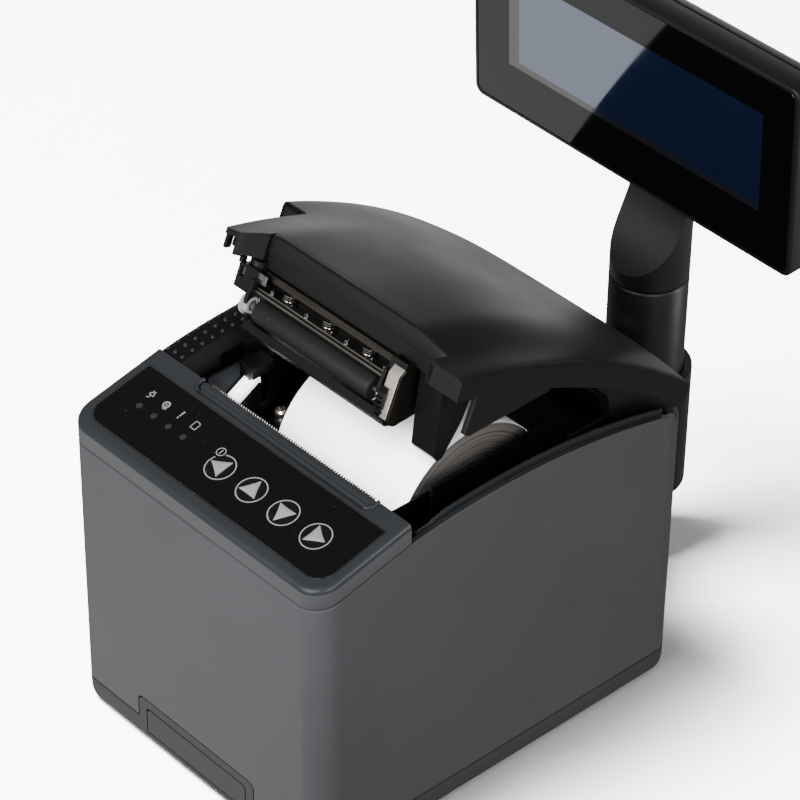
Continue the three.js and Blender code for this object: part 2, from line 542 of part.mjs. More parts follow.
function displayFront() {
  const outer = upright([
    { inset: 0.9, radius: 5, back: 0 }, { inset: 0, radius: 5, back: 1.1 },
    { inset: 0, radius: 5, back: SEAM_BACK - GAP / 2 }]);
  const glassSeat = upright([{ inset: GLASS.inset - GAP, radius: 4, back: -1 },
    { inset: GLASS.inset - GAP, radius: 4, back: GLASS.thick + 0.2 }]);
  const hollow = upright([{ inset: 5, radius: 3, back: -2 }, { inset: 5, radius: 3, back: 30 }]);
  return cut(outer, glassSeat, hollow);
}
function displayRear() {
  const outer = upright([
    { inset: 0, radius: 5, back: SEAM_BACK + GAP / 2 }, { inset: 0.6, radius: 5, back: SEAM_BACK + 4 },
    { inset: 4, radius: 6, back: DISPLAY_DEPTH - 1.5 }, { inset: 7, radius: 6, back: DISPLAY_DEPTH }]);
  const hollow = upright([{ inset: 3, radius: 3, back: SEAM_BACK - 2 },
    { inset: 8, radius: 3, back: DISPLAY_DEPTH - 2.5 }]);
  const ears = [-1, 1].map((s) => {
    const shape = outline([[panelY + DISPLAY_DEPTH - 1.5, -13], [2, -7],
      ...steps(-90, 90, 8).map((a) => {
        const angle = THREE.MathUtils.degToRad(a);
        return [1.2 + 5.6 * Math.cos(angle), 5.6 * Math.sin(angle)];
      }), [2, 7], [panelY + DISPLAY_DEPTH - 1.5, 13]]);
    return alongX(shape, s > 0 ? [10, 14.5] : [-14.5, -10]);
  });
  const bore = rod('x', [-20, 20], 2.6, 0, 0, 20);
  return cut(join(cut(outer, hollow), ...ears), bore);
}
add('display_front_frame', 'black', displayFront(), tilt);
add('display_rear_cover', 'black', displayRear(), tilt);
add('display_glass', 'gloss', upright([{ inset: GLASS.inset, radius: 3.8, back: 0.1 },
  { inset: GLASS.inset, radius: 3.8, back: GLASS.thick }]), tilt);
add('lcd_module', 'blue', box([LCD.x - LCD.width / 2, LCD.x + LCD.width / 2],
  [panelY + GLASS.thick + 0.5, panelY + 8], [LCD.z - LCD.height / 2, LCD.z + LCD.height / 2]), tilt);
add('tilt_pin', 'steel', rod('x', [-14.2, 14.2], 2.3, 0, 0), tilt);

// ---------- lid: cover ----------
const LID_HALF = HALF_W - 0.3;
// Height of the lid's skin above its side creases. Near the front it is level in the middle and
// eases down to a foot on each side; towards the rear it becomes one even curve.
function crown(x, y) {
  const { rise, flat, foot, front, rear } = CROWN;
  const ease = (value) => (1 - Math.cos(Math.PI * Math.min(Math.max(value, 0), 1))) / 2;
  const stepped = 1 - ease((Math.abs(x) - flat) / (foot - flat));
  const even = 1 - Math.abs(x / LID_HALF) ** 4;
  const blend = ease((y - front) / (rear - front));
  return rise * (stepped + (even - stepped) * blend);
}
function lidSection(y, offset, half) {
  const bottom = arcZ(RIM, y) + LID_FLANGE_GAP;
  const crease = arcZ(CREASE, y) - offset;
  const edge = half - 2.2;
  const halfCourse = [edge, ...steps(CROWN.foot, CROWN.flat, 4)];
  const across = [...halfCourse, ...halfCourse.map((x) => -x).reverse()].map((x) =>
    V(x, y, crease + crown(x, y)));
  const right = [V(half, y, bottom), V(half, y, crease - 2.4), V(half - 0.7, y, crease - 0.6)];
  return [...right, ...across, ...right.map((p) => V(-p.x, p.y, p.z)).reverse()];
}
function lidCover() {
  const stations = steps(LID_FRONT_Y, LID_REAR_Y, 18);
  const solid = (offset, half, from, to) => ringStack(
    stations.map((y) => Math.min(Math.max(y, from), to))
      .filter((y, i, all) => i === 0 || y !== all[i - 1])
      .map((y) => lidSection(y, offset, half)), (p) => new THREE.Vector2(p.x, p.z));
  const outer = solid(0, LID_HALF, LID_FRONT_Y, LID_REAR_Y);
  const inner = solid(WALL, LID_HALF - WALL, LID_FRONT_Y + 2.4, LID_REAR_Y - 2.4)
    .translate(0, 0, -0.01);
  const notch = box([-100, NOTCH_X], [-80, NOTCH_Y], [100, 200]);
  const exit = alongZ(outline([[EXIT_CORNER.left, -80], [EXIT_CORNER.left, LID_FRONT_Y],
    [EXIT_X[0] - 1, -46.5], [EXIT_X[0], -41], [EXIT_CORNER.right, -41], [EXIT_CORNER.right, -80]]), [100, 200]);
  const shell = cut(outer, inner, notch, exit);
  const hidden = solid(0.3, LID_HALF - 0.3, LID_FRONT_Y, LID_REAR_Y);
  const walls = common(hidden, join(
    box([NOTCH_X, NOTCH_X + 2.2], [LID_FRONT_Y, NOTCH_Y + 2], [156, 200]),
    box([-LID_HALF, NOTCH_X + 2.2], [NOTCH_Y, NOTCH_Y + 2.2], [158, 200]),
    alongZ(outline([[EXIT_CORNER.left - 1, LID_FRONT_Y + 0.1], [EXIT_CORNER.left + 1, LID_FRONT_Y + 0.1],
      [EXIT_X[0] - 0.2, -46], [EXIT_X[0] - 0.2, -41], [EXIT_CORNER.left + 2, -41]]), [157, 200]),
    box([EXIT_CORNER.right, EXIT_CORNER.right + 2.2], [LID_FRONT_Y, -41], [156, 200])));
  const belowLid = box([-70, 70], [-60, -30], [150, 160]);
  const lip = common(join(hidden, belowLid), alongX(outline([[-46, 155], [-43.6, 155], [-43.6, 160],
    [-39.5, 167.5], [-41, 171.2], [-44.4, 170.8], [-46, 169]]), [EXIT_X[0] - 1, EXIT_CORNER.right + 1]));
  return join(shell, walls, lip);
}
add('lid_cover', 'lid', lidCover(), lid);

// ---------- lid: liner with roll guards and hinge arms ----------
function lidLiner() {
  const top = steps(-36, 90, 12).map((y) => [y, arcZ(CREASE, y, -5.2)]);
  const under = steps(90, -36, 12).map((y) => [y, arcZ(CREASE, y, -7.2)]);
  const roof = alongX(outline([...under.reverse(), ...top.reverse()]), [-62, 75.9]);
  const guard = (x) => alongX(outline([[-37, 138], [-34, 137.4], [7, 155.5], [7, 164.3],
    ...steps(7, -37, 6).map((y) => [y, arcZ(CREASE, y, -5.6)])]), x);
  const boss = steps(-100, 100, 10).map((a) => {
    const angle = THREE.MathUtils.degToRad(a);
    return [HINGE_Y + 4.1 * Math.cos(angle), HINGE_Z + 4.1 * Math.sin(angle)];
  });
  const arm = (x) => cut(alongX(outline([[52, 149], [60, 138], [72, 136.5], [90, 128], [98, 126.3], ...boss,
    [90.5, 146], [84, 154.5], [52, 160.5]]), x), rod('x', [x[0] - 1, x[1] + 1], 1.9, HINGE_Y, HINGE_Z));
  return join(roof, guard([73.5, 75.9]), arm(HINGE_ARM_X),
    arm([-HINGE_ARM_X[1], -HINGE_ARM_X[0]]), box([-HINGE_ARM_X[1], -58], [56, 80], [154.6, 157.2]));
}
add('lid_liner', 'black', lidLiner(), lid);

// ---------- lid: print mechanism ----------
const PITCH = (teeth) => (teeth * GEAR_MODULE) / 2;
const MESH_SLACK = 0.15;
function idlerAxis() {
  const dy = PINION_AXIS.y - PLATEN.y;
  const dz = PINION_AXIS.z - PLATEN.z;
  const span = Math.hypot(dy, dz);
  const toPlaten = PITCH(PLATEN_TEETH) + PITCH(IDLER_TEETH) + MESH_SLACK;
  const toPinion = PITCH(PINION_TEETH) + PITCH(IDLER_TEETH) + MESH_SLACK;
  const along = (toPlaten ** 2 - toPinion ** 2 + span ** 2) / (2 * span);
  const aside = Math.sqrt(toPlaten ** 2 - along ** 2);
  return { y: PLATEN.y + (dy * along + dz * aside) / span, z: PLATEN.z + (dz * along - dy * aside) / span };
}
const IDLER_AXIS = idlerAxis();

function gear(teeth, [x0, x1], bore, axis, turn) {
  const pitch = PITCH(teeth);
  const points = [];
  for (let i = 0; i < teeth; i += 1) {
    const step = (2 * Math.PI) / teeth;
    const profile = [[-0.30, pitch - 0.85], [-0.17, pitch + 0.55], [0.17, pitch + 0.55], [0.30, pitch - 0.85]];
    for (const [part, radius] of profile) {
      const angle = turn + (i + part) * step;
      points.push([axis.y + radius * Math.cos(angle), axis.z + radius * Math.sin(angle)]);
    }
  }
  const wheel = alongX(outline(points), [x0, x1]);
  return bore ? cut(wheel, rod('x', [x0 - 1, x1 + 1], bore, axis.y, axis.z, 24)) : wheel;
}
const direction = (from, to) => Math.atan2(to.z - from.z, to.y - from.y);
// A tooth of the followed wheel points at the next wheel, whose tooth gap points back.
const platenTurn = direction(PLATEN, IDLER_AXIS);
const idlerTurn = direction(IDLER_AXIS, PLATEN) + Math.PI / IDLER_TEETH;
const idlerStep = (2 * Math.PI) / IDLER_TEETH;
const idlerPhase = (((direction(IDLER_AXIS, PINION_AXIS) - idlerTurn) % idlerStep) + idlerStep) % idlerStep;
const pinionTurn = direction(PINION_AXIS, IDLER_AXIS)
  + Math.PI / PINION_TEETH + (idlerPhase * IDLER_TEETH) / PINION_TEETH;

const FRAME_LEFT_X = [-46, -44];
const FRAME_RIGHT_X = [37.4, 39.2];
const frameOutline = outline([[-49.5, 132.8], [-33, 132.8], [-27, 139], [-22.5, 147], [-22.5, 157.5],
  [-43, 157.5], [-43, 154.4], [-52, 150], [-53, 141]]);
const platenHole = (x) => rod('x', [x[0] - 1, x[1] + 1], 4.3, PLATEN.y, PLATEN.z, 24);
add('mech_frame_left', 'black', join(
  cut(alongX(frameOutline, FRAME_LEFT_X), platenHole(FRAME_LEFT_X)),
  box([-51.5, -45.5], [-51, -44.2], [146, 154.4]), box([-51.5, -45.5], [-43.2, -34], [146, 155.6])), lid);
add('mech_frame_right', 'black', cut(alongX(frameOutline, FRAME_RIGHT_X), platenHole(FRAME_RIGHT_X),
  rod('x', [30, 45], 2.6, PINION_AXIS.y, PINION_AXIS.z)), lid);

const INNER_X = [-43.6, 37];
add('upper_plate', 'steel', join(
  box([INNER_X[0], INNER_X[1]], [-46.6, -45.6], [150.6, 154.6]),
  box([INNER_X[0], INNER_X[1]], [-46.6, -40.4], [150.6, 151.6])), lid);
add('lower_plate', 'steel', join(
  box([INNER_X[0] + 1, INNER_X[1] - 1], [-50, -40.2], [145.2, 146.2]),
  box([INNER_X[0] + 1, INNER_X[1] - 1], [-50, -49], [145.2, 147.4])), lid);
add('print_head', 'white', box([-41, 34.6], [-49.4, -43], [144.25, 144.9]), lid);
const SPRING_X = [-29, -4, 21];
['left', 'middle', 'right'].forEach((side, i) => {
  const turns = 4;
  const [low, high] = [146.5, 150.3];
  const profile = steps(0, turns, turns * 2).map((t, k) =>
    [k % 2 ? 2.7 : 2.2, low + ((high - low) * t) / turns]);
  const coil = lathe([[1.2, low], ...profile, [1.2, high], [1.2, low]], 16);
  add(`head_spring_${side}`, 'spring', coil.translate(SPRING_X[i], -44.4, 0), lid);
});

add('platen_shaft', 'steel', rod('x', [-49.4, 45.4], 2, PLATEN.y, PLATEN.z, 24), lid);
add('platen_roller', 'rubber',
  tube([PLATEN.left, PLATEN.right], PLATEN.radius, 2.3, PLATEN.y, PLATEN.z, 32), lid);
for (const [name, x, collarX] of [
  ['platen_bushing_left', FRAME_LEFT_X, [FRAME_LEFT_X[0] - 2, FRAME_LEFT_X[0] - GAP]],
  ['platen_bushing_right', FRAME_RIGHT_X, [FRAME_RIGHT_X[1] + GAP, FRAME_RIGHT_X[1] + 1]]]) {
  const sleeve = tube([Math.min(x[0], collarX[0]), Math.max(x[1], collarX[1])], 4, 2.3,
    PLATEN.y, PLATEN.z, 24);
  add(name, 'white', join(sleeve, tube(collarX, 5.2, 2.3, PLATEN.y, PLATEN.z, 24)), lid);
}
const GEAR_X = [40.4, 44.4];
add('platen_gear', 'black', gear(PLATEN_TEETH, GEAR_X, 2.3, PLATEN, platenTurn), lid);
add('idler_gear', 'black', gear(IDLER_TEETH, GEAR_X, 1.6, IDLER_AXIS, idlerTurn), lid);
add('motor_pinion', 'steel', gear(PINION_TEETH, [40.2, 44.2], 1.3, PINION_AXIS, pinionTurn), lid);
add('feed_motor', 'steel', join(
  rod('x', [12, 37], 7.8, PINION_AXIS.y, PINION_AXIS.z, 28),
  rod('x', [36, 44], 1, PINION_AXIS.y, PINION_AXIS.z, 12)), lid);

// Polished steel cover round the gears, with the idler's fixed stub.
function sideCover() {
  const side = outline([[-50, 133], [-44, 130], [-30, 130.5], [-25, 137], [-25, 154.4], [-47, 154.4], [-50, 151]]);
  const plate = alongX(side, [46, 47.2]);
  const front = alongX(outline([[-51.2, 140], [-50, 140], [-50, 151], [-47, 154.4], [-47.8, 155.2], [-51.2, 151.4]]),
    [40, 47.2]);
  const stub = rod('x', [39.6, 46.5], 1.3, IDLER_AXIS.y, IDLER_AXIS.z, 12);
  return join(plate, front, stub);
}
add('side_cover', 'steel', cut(sideCover(), rod('x', [39, 45.6], 8.6, PLATEN.y, PLATEN.z, 32)), lid);
add('lower_guide', 'black', cut(alongX(outline([[-52.4, 129.4], [-50.4, 127.4], [-46, 127.4],
  [-44.6, 130.4], [-45.8, 132.4], [-50.8, 132.4]]), [-43.4, 45.6]),
  rod('x', [GEAR_X[0] - 0.6, GEAR_X[1] + 0.6], 8.7, PLATEN.y, PLATEN.z, 32)), lid);
add('guide_arm', 'black', alongX(outline([[-43.2, 154.4], [-40, 141], [-34, 120.5], [-31, 118.4],
  [-28.5, 120.4], [-24.5, 136], [-23, 154.4]]), GUIDE_ARM_X), lid);

// ---------- origin at the bottom centre of the whole object ----------
printer.updateMatrixWorld(true);
const reach = new THREE.Box3().setFromObject(printer, true);
const centre = reach.getCenter(V(0, 0, 0));
body.position.set(-centre.x, -centre.y, -reach.min.z);
printer.updateMatrixWorld(true);

export default printer;
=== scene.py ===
# Desktop receipt printer with its lid open and a customer display on a rear post.
import json
import math
import bpy
import bmesh
from mathutils import Matrix, Vector


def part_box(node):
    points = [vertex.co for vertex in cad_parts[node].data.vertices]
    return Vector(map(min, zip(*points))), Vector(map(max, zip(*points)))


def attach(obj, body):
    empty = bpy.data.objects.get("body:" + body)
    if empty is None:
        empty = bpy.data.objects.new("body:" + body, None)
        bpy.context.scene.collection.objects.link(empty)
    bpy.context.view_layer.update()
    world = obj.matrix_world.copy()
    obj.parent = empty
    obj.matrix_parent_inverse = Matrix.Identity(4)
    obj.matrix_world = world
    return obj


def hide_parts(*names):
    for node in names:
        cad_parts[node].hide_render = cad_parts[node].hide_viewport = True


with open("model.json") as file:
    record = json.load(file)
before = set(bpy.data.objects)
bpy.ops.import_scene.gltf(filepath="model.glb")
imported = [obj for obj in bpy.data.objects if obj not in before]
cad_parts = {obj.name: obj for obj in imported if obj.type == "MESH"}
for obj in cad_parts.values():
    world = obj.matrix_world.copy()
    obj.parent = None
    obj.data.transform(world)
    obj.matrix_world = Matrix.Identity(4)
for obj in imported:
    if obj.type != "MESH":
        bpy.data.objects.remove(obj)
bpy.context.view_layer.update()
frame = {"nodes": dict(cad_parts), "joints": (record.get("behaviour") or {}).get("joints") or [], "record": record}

# --- frame and dimensions (millimetres in the body frame) ---
# The body frame's origin is the middle of the printer body's underside, X right, front at -Y.
MM = 0.001
case_low, case_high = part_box("outer_case")
ORIGIN = Vector(((case_low.x + case_high.x) / 2, (case_low.y + case_high.y) / 2, 0))
BODY = Matrix.Translation(ORIGIN) @ Matrix.Scale(MM, 4)
joint = {j["name"]: j for j in frame["joints"]}


def in_body(joint_name):
    """A joint's place in millimetres in the body frame."""
    return (Vector(joint[joint_name]["pos_m"]) - ORIGIN) / MM


HALF_W = (case_high.x - case_low.x) / 2 / MM
HALF_D = (case_high.y - case_low.y) / 2 / MM
WALL = 2.5
GAP = 0.3
CORNER = 12
TRAY_TOP = 12.5
TRAY_INSET = 3.3
FOOT_HEIGHT = 1.5
TAB_HALF = 38.5
TAB_TOP = 25
DOOR_HALF = 33.7
DOOR_TOP = 21
DOOR_BOTTOM = 6.3
SEAM_FRONT_Z = 143
SLOPE = math.radians(13.27)
PANEL_HEIGHT = 10.5
PANEL_REAR_Y = -55.5
REAR_WALL_Y = 97  # the side walls' curved tops end here
REAR_WALL_TOP = 141
RIM = (-4.2, -214.1, 372.9)  # arcs in the (y, z) plane: centre and radius
CREASE = (1.7, -137.6, 308.1)
LIP = (0.1, -182.2, 343.4)
LIP_X = (76.2, 77.8)
EXIT_X = (-48, 56)
HINGE_X = (66, 72)
LEVER = {"x": (-80.4, -66), "y": (-54.9, -9.4)}
MEMBRANE = {"half": 76, "front": 5.7, "rear": 42.8, "depth": 1}
KEY_X = [-5.46 + 20.08 * i for i in range(4)]
KEY_UP = 22.6  # distances up the slope of the front panel
LED_UP = 23.9
KEY_RADIUS = 6.1
LED_X = (-60.4, -50.7, -41.1, -31.4)

LID_OPEN = math.radians(-joint["lid_hinge"]["range_deg"][0])
LID_PIVOT = Matrix.Translation(in_body("lid_hinge"))
LID = BODY @ LID_PIVOT @ Matrix.Rotation(-LID_OPEN, 4, "X") @ LID_PIVOT.inverted()
PANEL = BODY @ Matrix.Translation((0, -HALF_D, SEAM_FRONT_Z + PANEL_HEIGHT)) @ Matrix.Rotation(SLOPE, 4, "X")
POST = in_body("display_swivel")
HEAD = BODY @ Matrix.Translation((POST.x, POST.y, 0)) @ Matrix.Rotation(math.radians(-1), 4, "Z")
TILT_PIN = (0, 8.6, 256.7)
DISPLAY = HEAD @ Matrix.Translation(TILT_PIN) @ Matrix.Rotation(math.radians(2.3), 4, "X")
POST_RADIUS = 18.2
POST_FOOT = 40
SWIVEL_Z = 153.4
SCREEN = {"width": 197, "height": 93.4, "depth": 22, "face": -28.6, "seam": 12.5}
LCD = {"x": 1.5, "z": 2.6, "width": 154.6, "height": 48.4}


def arc_z(curve, y, offset=0.0):
    """Height at y of an arc given by its centre and radius, grown by the offset."""
    return curve[1] + math.sqrt((curve[2] + offset) ** 2 - (y - curve[0]) ** 2)


def seam_z(y):
    return SEAM_FRONT_Z + (y + HALF_D) * math.tan(SLOPE)


def steps(low, high, count):
    return [low + (high - low) * i / count for i in range(count + 1)]


def cosine(degrees):
    return math.cos(math.radians(degrees))


def sine(degrees):
    return math.sin(math.radians(degrees))


def at_height(points, z):
    return [(x, y, z) for x, y in points]


def pair(side, near, far):
    """The range between two distances from the middle, on the right (1) or left (-1) side."""
    return sorted((side * near, side * far))


# --- mesh tools ---
AXES = {
    "x": lambda a, b, t: (t, a, b),
    "y": lambda a, b, t: (a, t, b),
    "z": lambda a, b, t: (a, b, t),
}


def loft(rings, caps=True):
    """Closed skin through rings with the same number of points."""
    bm = bmesh.new()
    rows = [[bm.verts.new(p) for p in ring] for ring in rings]
    for low, high in zip(rows, rows[1:]):
        for i in range(len(low)):
            j = (i + 1) % len(low)
            bm.faces.new((low[i], low[j], high[j], high[i]))
    if caps:
        bm.faces.new(list(reversed(rows[0])))
        bm.faces.new(rows[-1])
    bmesh.ops.recalc_face_normals(bm, faces=bm.faces)
    return bm


def prism(points, axis, low, high):
    """Outline extruded along an axis: (y, z) along x, (x, z) along y, (x, y) along z."""
    at = AXES[axis]
    return loft([[at(a, b, t) for a, b in points] for t in (low, high)])


def block(x, y, z):
    return prism([(x[0], y[0]), (x[1], y[0]), (x[1], y[1]), (x[0], y[1])], "z", *z)


def arc(centre, radius, first, last, count=8):
    return [(centre[0] + radius * cosine(a), centre[1] + radius * sine(a)) for a in steps(first, last, count)]


def rounded(x0, x1, y0, y1, radii, count=8):
    """Rectangle with corner radii (front left, front right, rear right, rear left)."""
    a, b, c, d = radii if hasattr(radii, "__len__") else (radii,) * 4
    corners = (((x1 - b, y0 + b), b, -90, 0), ((x1 - c, y1 - c), c, 0, 90),
               ((x0 + d, y1 - d), d, 90, 180), ((x0 + a, y0 + a), a, 180, 270))
    points = []
    for centre, radius, first, last in corners:
        points += arc(centre, radius, first, last, count) if radius else [centre]
    return points


def turned(profile, axis="z", centre=(0, 0), sides=64, caps=True):
    """Profile of (radius, height) pairs turned about an axis through centre."""
    at = AXES[axis]
    return loft([[at(a, b, t) for a, b in arc(centre, r, 0, 360, sides)[:-1]] for r, t in profile], caps)


def rod(axis, low, high, radius, a, b, sides=32, edge=0.0):
    """Cylinder with its end edges rounded over."""
    if not edge:
        return turned([(radius, low), (radius, high)], axis, (a, b), sides)
    bend = [(radius - edge + edge * sine(t), edge - edge * cosine(t)) for t in (0, 22, 45, 68, 90)]
    profile = [(r, low + t) for r, t in bend] + [(r, high - t) for r, t in reversed(bend)]
    return turned(profile, axis, (a, b), sides)


def tube_along(path, radius, sides):
    """Round wire along a path of points."""
    rings = []
    points = [Vector(p) for p in path]
    for i, p in enumerate(points):
        ahead = (points[min(i + 1, len(points) - 1)] - points[max(i - 1, 0)]).normalized()
        side = ahead.orthogonal().normalized() if i == 0 else (side - ahead * side.dot(ahead)).normalized()
        up = ahead.cross(side)
        rings.append([p + (side * cosine(a) + up * sine(a)) * radius for a in steps(0, 360, sides)[:-1]])
    return loft(rings)


def closed_loop(bm):
    """Joins a skin whose last ring lies on its first."""
    bmesh.ops.remove_doubles(bm, verts=bm.verts, dist=1e-4)
    return bm


def joined(*parts):
    whole = bmesh.new()
    for part in parts:
        mesh = bpy.data.meshes.new("part")
        part.to_mesh(mesh)
        part.free()
        whole.from_mesh(mesh)
        bpy.data.meshes.remove(mesh)
    return whole


def moved(bm, matrix):
    bm.transform(matrix)
    return bm


def in_scene(name, data):
    thing = bpy.data.objects.new(name, data)
    bpy.context.scene.collection.objects.link(thing)
    return thing


def solid(bm, name="solid"):
    mesh = bpy.data.meshes.new(name)
    bm.to_mesh(mesh)
    bm.free()
    return in_scene(name, mesh)


def boolean(base, tools, operation="DIFFERENCE"):
    target = solid(base)
    others = [solid(tool) for tool in tools]
    for other in others:
        modifier = target.modifiers.new("boolean", "BOOLEAN")
        modifier.operation = operation
        modifier.solver = "EXACT"
        modifier.object = other
    bpy.context.view_layer.update()
    evaluated = target.evaluated_get(bpy.context.evaluated_depsgraph_get())
    made = bmesh.new()
    made.from_mesh(evaluated.to_mesh())
    for thing in (target, *others):
        mesh = thing.data
        bpy.data.objects.remove(thing)
        bpy.data.meshes.remove(mesh)
    return made


def cut(base, *tools):
    return boolean(base, tools)


SHARP = 34  # edges that turn by more than these degrees are corners


def round_edges(thing, width, segments, sharp=SHARP):
    bevel = thing.modifiers.new("edge", "BEVEL")
    bevel.limit_method = "ANGLE"
    bevel.angle_limit = math.radians(sharp)
    bevel.width = width * MM
    bevel.segments = segments
    bevel.harden_normals = True


def piece(name, bm, look, body, matrix=BODY, stands_for=None, edge=0.0, segments=3, sharp=SHARP, slot=None):
    """Finishes a mesh as a piece that rides on a body and takes the place of the CAD node it stands for.
    edge is the rounding of its corners."""
    bm.transform(matrix)
    bmesh.ops.recalc_face_normals(bm, faces=bm.faces)
    made = solid(bm, name)
    made.data.materials.append(LOOKS[look])
    made.data.shade_smooth()
    made.data.set_sharp_from_angle(angle=math.radians(sharp))
    if edge:
        round_edges(made, edge, segments, sharp)
    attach(made, body)
    if stands_for:
        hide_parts(stands_for)


def lid_piece(name, bm, look, stands_for=None, **finish):
    piece(name, bm, look, "lid", LID, stands_for, **finish)


def soften(name, edge):
    """Rounds the corners of a CAD node that is shown as it is."""
    part = frame["nodes"][name]
    part.modifiers.new("weld", "WELD").merge_threshold = 1e-6
    flat = part.modifiers.new("flat", "DECIMATE")
    flat.decimate_type = "DISSOLVE"
    flat.angle_limit = math.radians(0.5)
    round_edges(part, edge, 2)


# --- materials ---
LOOKS = {}


def set_inputs(node, values):
    for key, value in values.items():
        node.inputs[key.replace("_", " ")].default_value = value


class Shader:
    """A principled surface whose nodes are added one by one."""

    def __init__(self, name, **values):
        self.material = bpy.data.materials.new(name)
        self.material.use_nodes = True
        LOOKS[name] = self.material
        self.tree = self.material.node_tree
        self.surface = self.tree.nodes["Principled BSDF"]
        self.coords = self.node("TexCoord").outputs["Object"]
        set_inputs(self.surface, values)

    def link(self, output, target):
        self.tree.links.new(output, target)

    def node(self, kind, **values):
        made = self.tree.nodes.new("ShaderNode" + kind)
        set_inputs(made, values)
        return made

    def arithmetic(self, operation, first, second=None):
        """Vector arithmetic on an output and either another output or a constant."""
        made = self.node("VectorMath")
        made.operation = operation
        self.link(first, made.inputs[0])
        if isinstance(second, bpy.types.NodeSocket):
            self.link(second, made.inputs[1])
        elif second:
            made.inputs[1].default_value = second
        return made.outputs["Value" if operation == "LENGTH" else "Vector"]

    def noise(self, scale, detail=2.0, stretch=None):
        texture = self.node("TexNoise", Scale=scale, Detail=detail)
        source = self.coords
        if stretch:
            mapping = self.node("Mapping", Scale=stretch)
            self.link(source, mapping.inputs["Vector"])
            source = mapping.outputs["Vector"]
        self.link(source, texture.inputs["Vector"])
        return texture.outputs["Fac"]

    def roughness(self, value, low, high, first, last):
        """Roughness from low to high as the value goes from first to last."""
        span = self.node("MapRange", From_Min=first, From_Max=last, To_Min=low, To_Max=high)
        self.link(value, span.inputs["Value"])
        self.link(span.outputs["Result"], self.surface.inputs["Roughness"])

    def ramp(self, value, *stops):
        blend = self.node("ValToRGB")
        while len(blend.color_ramp.elements) < len(stops):
            blend.color_ramp.elements.new(0.5)
        for element, (place, color) in zip(blend.color_ramp.elements, stops):
            element.position = place
            element.color = (*color, 1)
        self.link(value, blend.inputs["Fac"])
        return blend.outputs["Color"]

    def color(self, output):
        self.link(output, self.surface.inputs["Base Color"])

    def bump(self, height, strength, distance=0.0001):
        node = self.node("Bump", Strength=strength, Distance=distance)
        self.link(height, node.inputs["Height"])
        self.link(node.outputs["Normal"], self.surface.inputs["Normal"])


def shade(color, factor):
    return tuple(min(c * factor, 1.0) for c in color)


def moulded(name, color, roughness, grain=0.3, size=1400.0, specks=0.0, drift=0.07, **values):
    """Moulded plastic or rubber: a fine grain, a slow drift of colour and a few pale dust specks."""
    look = Shader(name, **values)
    slow = look.noise(22.0, 3.0)
    tone = look.ramp(slow, (0.25, shade(color, 1 - drift)), (0.75, shade(color, 1 + drift)))
    if specks:
        dust = look.ramp(look.noise(700.0, 1.0), (0.74, (0, 0, 0)), (0.8, (specks,) * 3))
        tone = look.arithmetic("ADD", tone, dust)
    look.color(tone)
    look.roughness(slow, roughness - 0.05, roughness + 0.05, 0.25, 0.75)
    look.bump(look.noise(size, 2.0), grain)


def brushed(name, color, roughness, stretch=(4, 220, 220), deep=0.15):
    """Metal with fine lines along its length."""
    look = Shader(name, Metallic=1.0)
    lines = look.noise(14.0, 5.0, stretch)
    look.color(look.ramp(lines, (0.3, shade(color, 0.8)), (0.7, shade(color, 1.12))))
    look.roughness(lines, roughness - 0.08, roughness + 0.1, 0.3, 0.7)
    look.bump(lines, deep, 0.00005)


def layered_paper():
    """The roll's ends show its turns as fine grey lines about the roll's own axis; the whole end is also painted
    grey, far darker than the paper, as painted shade.
    """
    look = Shader("shaded_paper_ends", Roughness=0.85)
    place = look.arithmetic("SUBTRACT", look.coords, joint["roll_spin"]["pos_m"])
    distance = look.arithmetic("LENGTH", look.arithmetic("MULTIPLY", place, (0, 1, 1)))
    turns = look.node("TexNoise", Scale=1500.0, Detail=3.0)
    turns.noise_dimensions = "1D"
    look.link(distance, turns.inputs["W"])
    tint = turns.outputs["Fac"]
    stops = ((0.3, (0.11, 0.1, 0.095)), (0.5, (0.3, 0.28, 0.265)), (0.72, (0.5, 0.47, 0.44)))
    look.color(look.ramp(tint, *stops))
    look.bump(tint, 0.5, 0.0002)


moulded("body_plastic", (0.125, 0.13, 0.138), 0.55, grain=0.25)
moulded("panel_plastic", (0.046, 0.05, 0.055), 0.38, grain=0.15)
moulded("tray_plastic", (0.08, 0.079, 0.079), 0.6)
moulded("black_plastic", (0.009, 0.009, 0.0095), 0.42, grain=0.55, size=1100, specks=0.012)
moulded("lid_plastic", (0.0095, 0.0095, 0.01), 0.5, grain=0.4, size=1100, specks=0.008)
moulded("gloss_panel", (0.005, 0.005, 0.0055), 0.16, grain=0.03, size=300, specks=0.05,
        Specular_IOR_Level=0.33)
moulded("display_gloss", (0.003, 0.003, 0.0035), 0.055, grain=0.0, IOR=1.44)
moulded("key_caps", (0.006, 0.006, 0.007), 0.22, grain=0.05)
moulded("indicator", (0.07, 0.06, 0.045), 0.3, grain=0.05)
brushed("steel", (0.42, 0.39, 0.35), 0.3)
brushed("tin", (0.82, 0.76, 0.7), 0.5, (60, 60, 60), 0.05)
brushed("dark_steel", (0.15, 0.135, 0.115), 0.34)
brushed("polished_steel", (0.72, 0.7, 0.67), 0.16, (30, 30, 4), 0.05)
moulded("rubber", (0.021, 0.0215, 0.023), 0.55, grain=0.4, specks=0.06)
moulded("white_plastic", (0.78, 0.8, 0.83), 0.4, grain=0.1, drift=0.03)
moulded("paper", (0.86, 0.86, 0.855), 0.75, grain=0.15, size=2400, drift=0.015)
moulded("card", (0.3, 0.2, 0.13), 0.85, grain=0.5, size=500)
moulded("circuit_board", (0.02, 0.13, 0.06), 0.35, grain=0.4, size=260, drift=0.2)
moulded("lcd", (0.005, 0.012, 0.042), 0.055, grain=0.0, IOR=3.1, Specular_Tint=(0.76, 0.84, 1, 1))
layered_paper()
moulded("paper_line", (0.42, 0.4, 0.37), 0.8, grain=0.1)
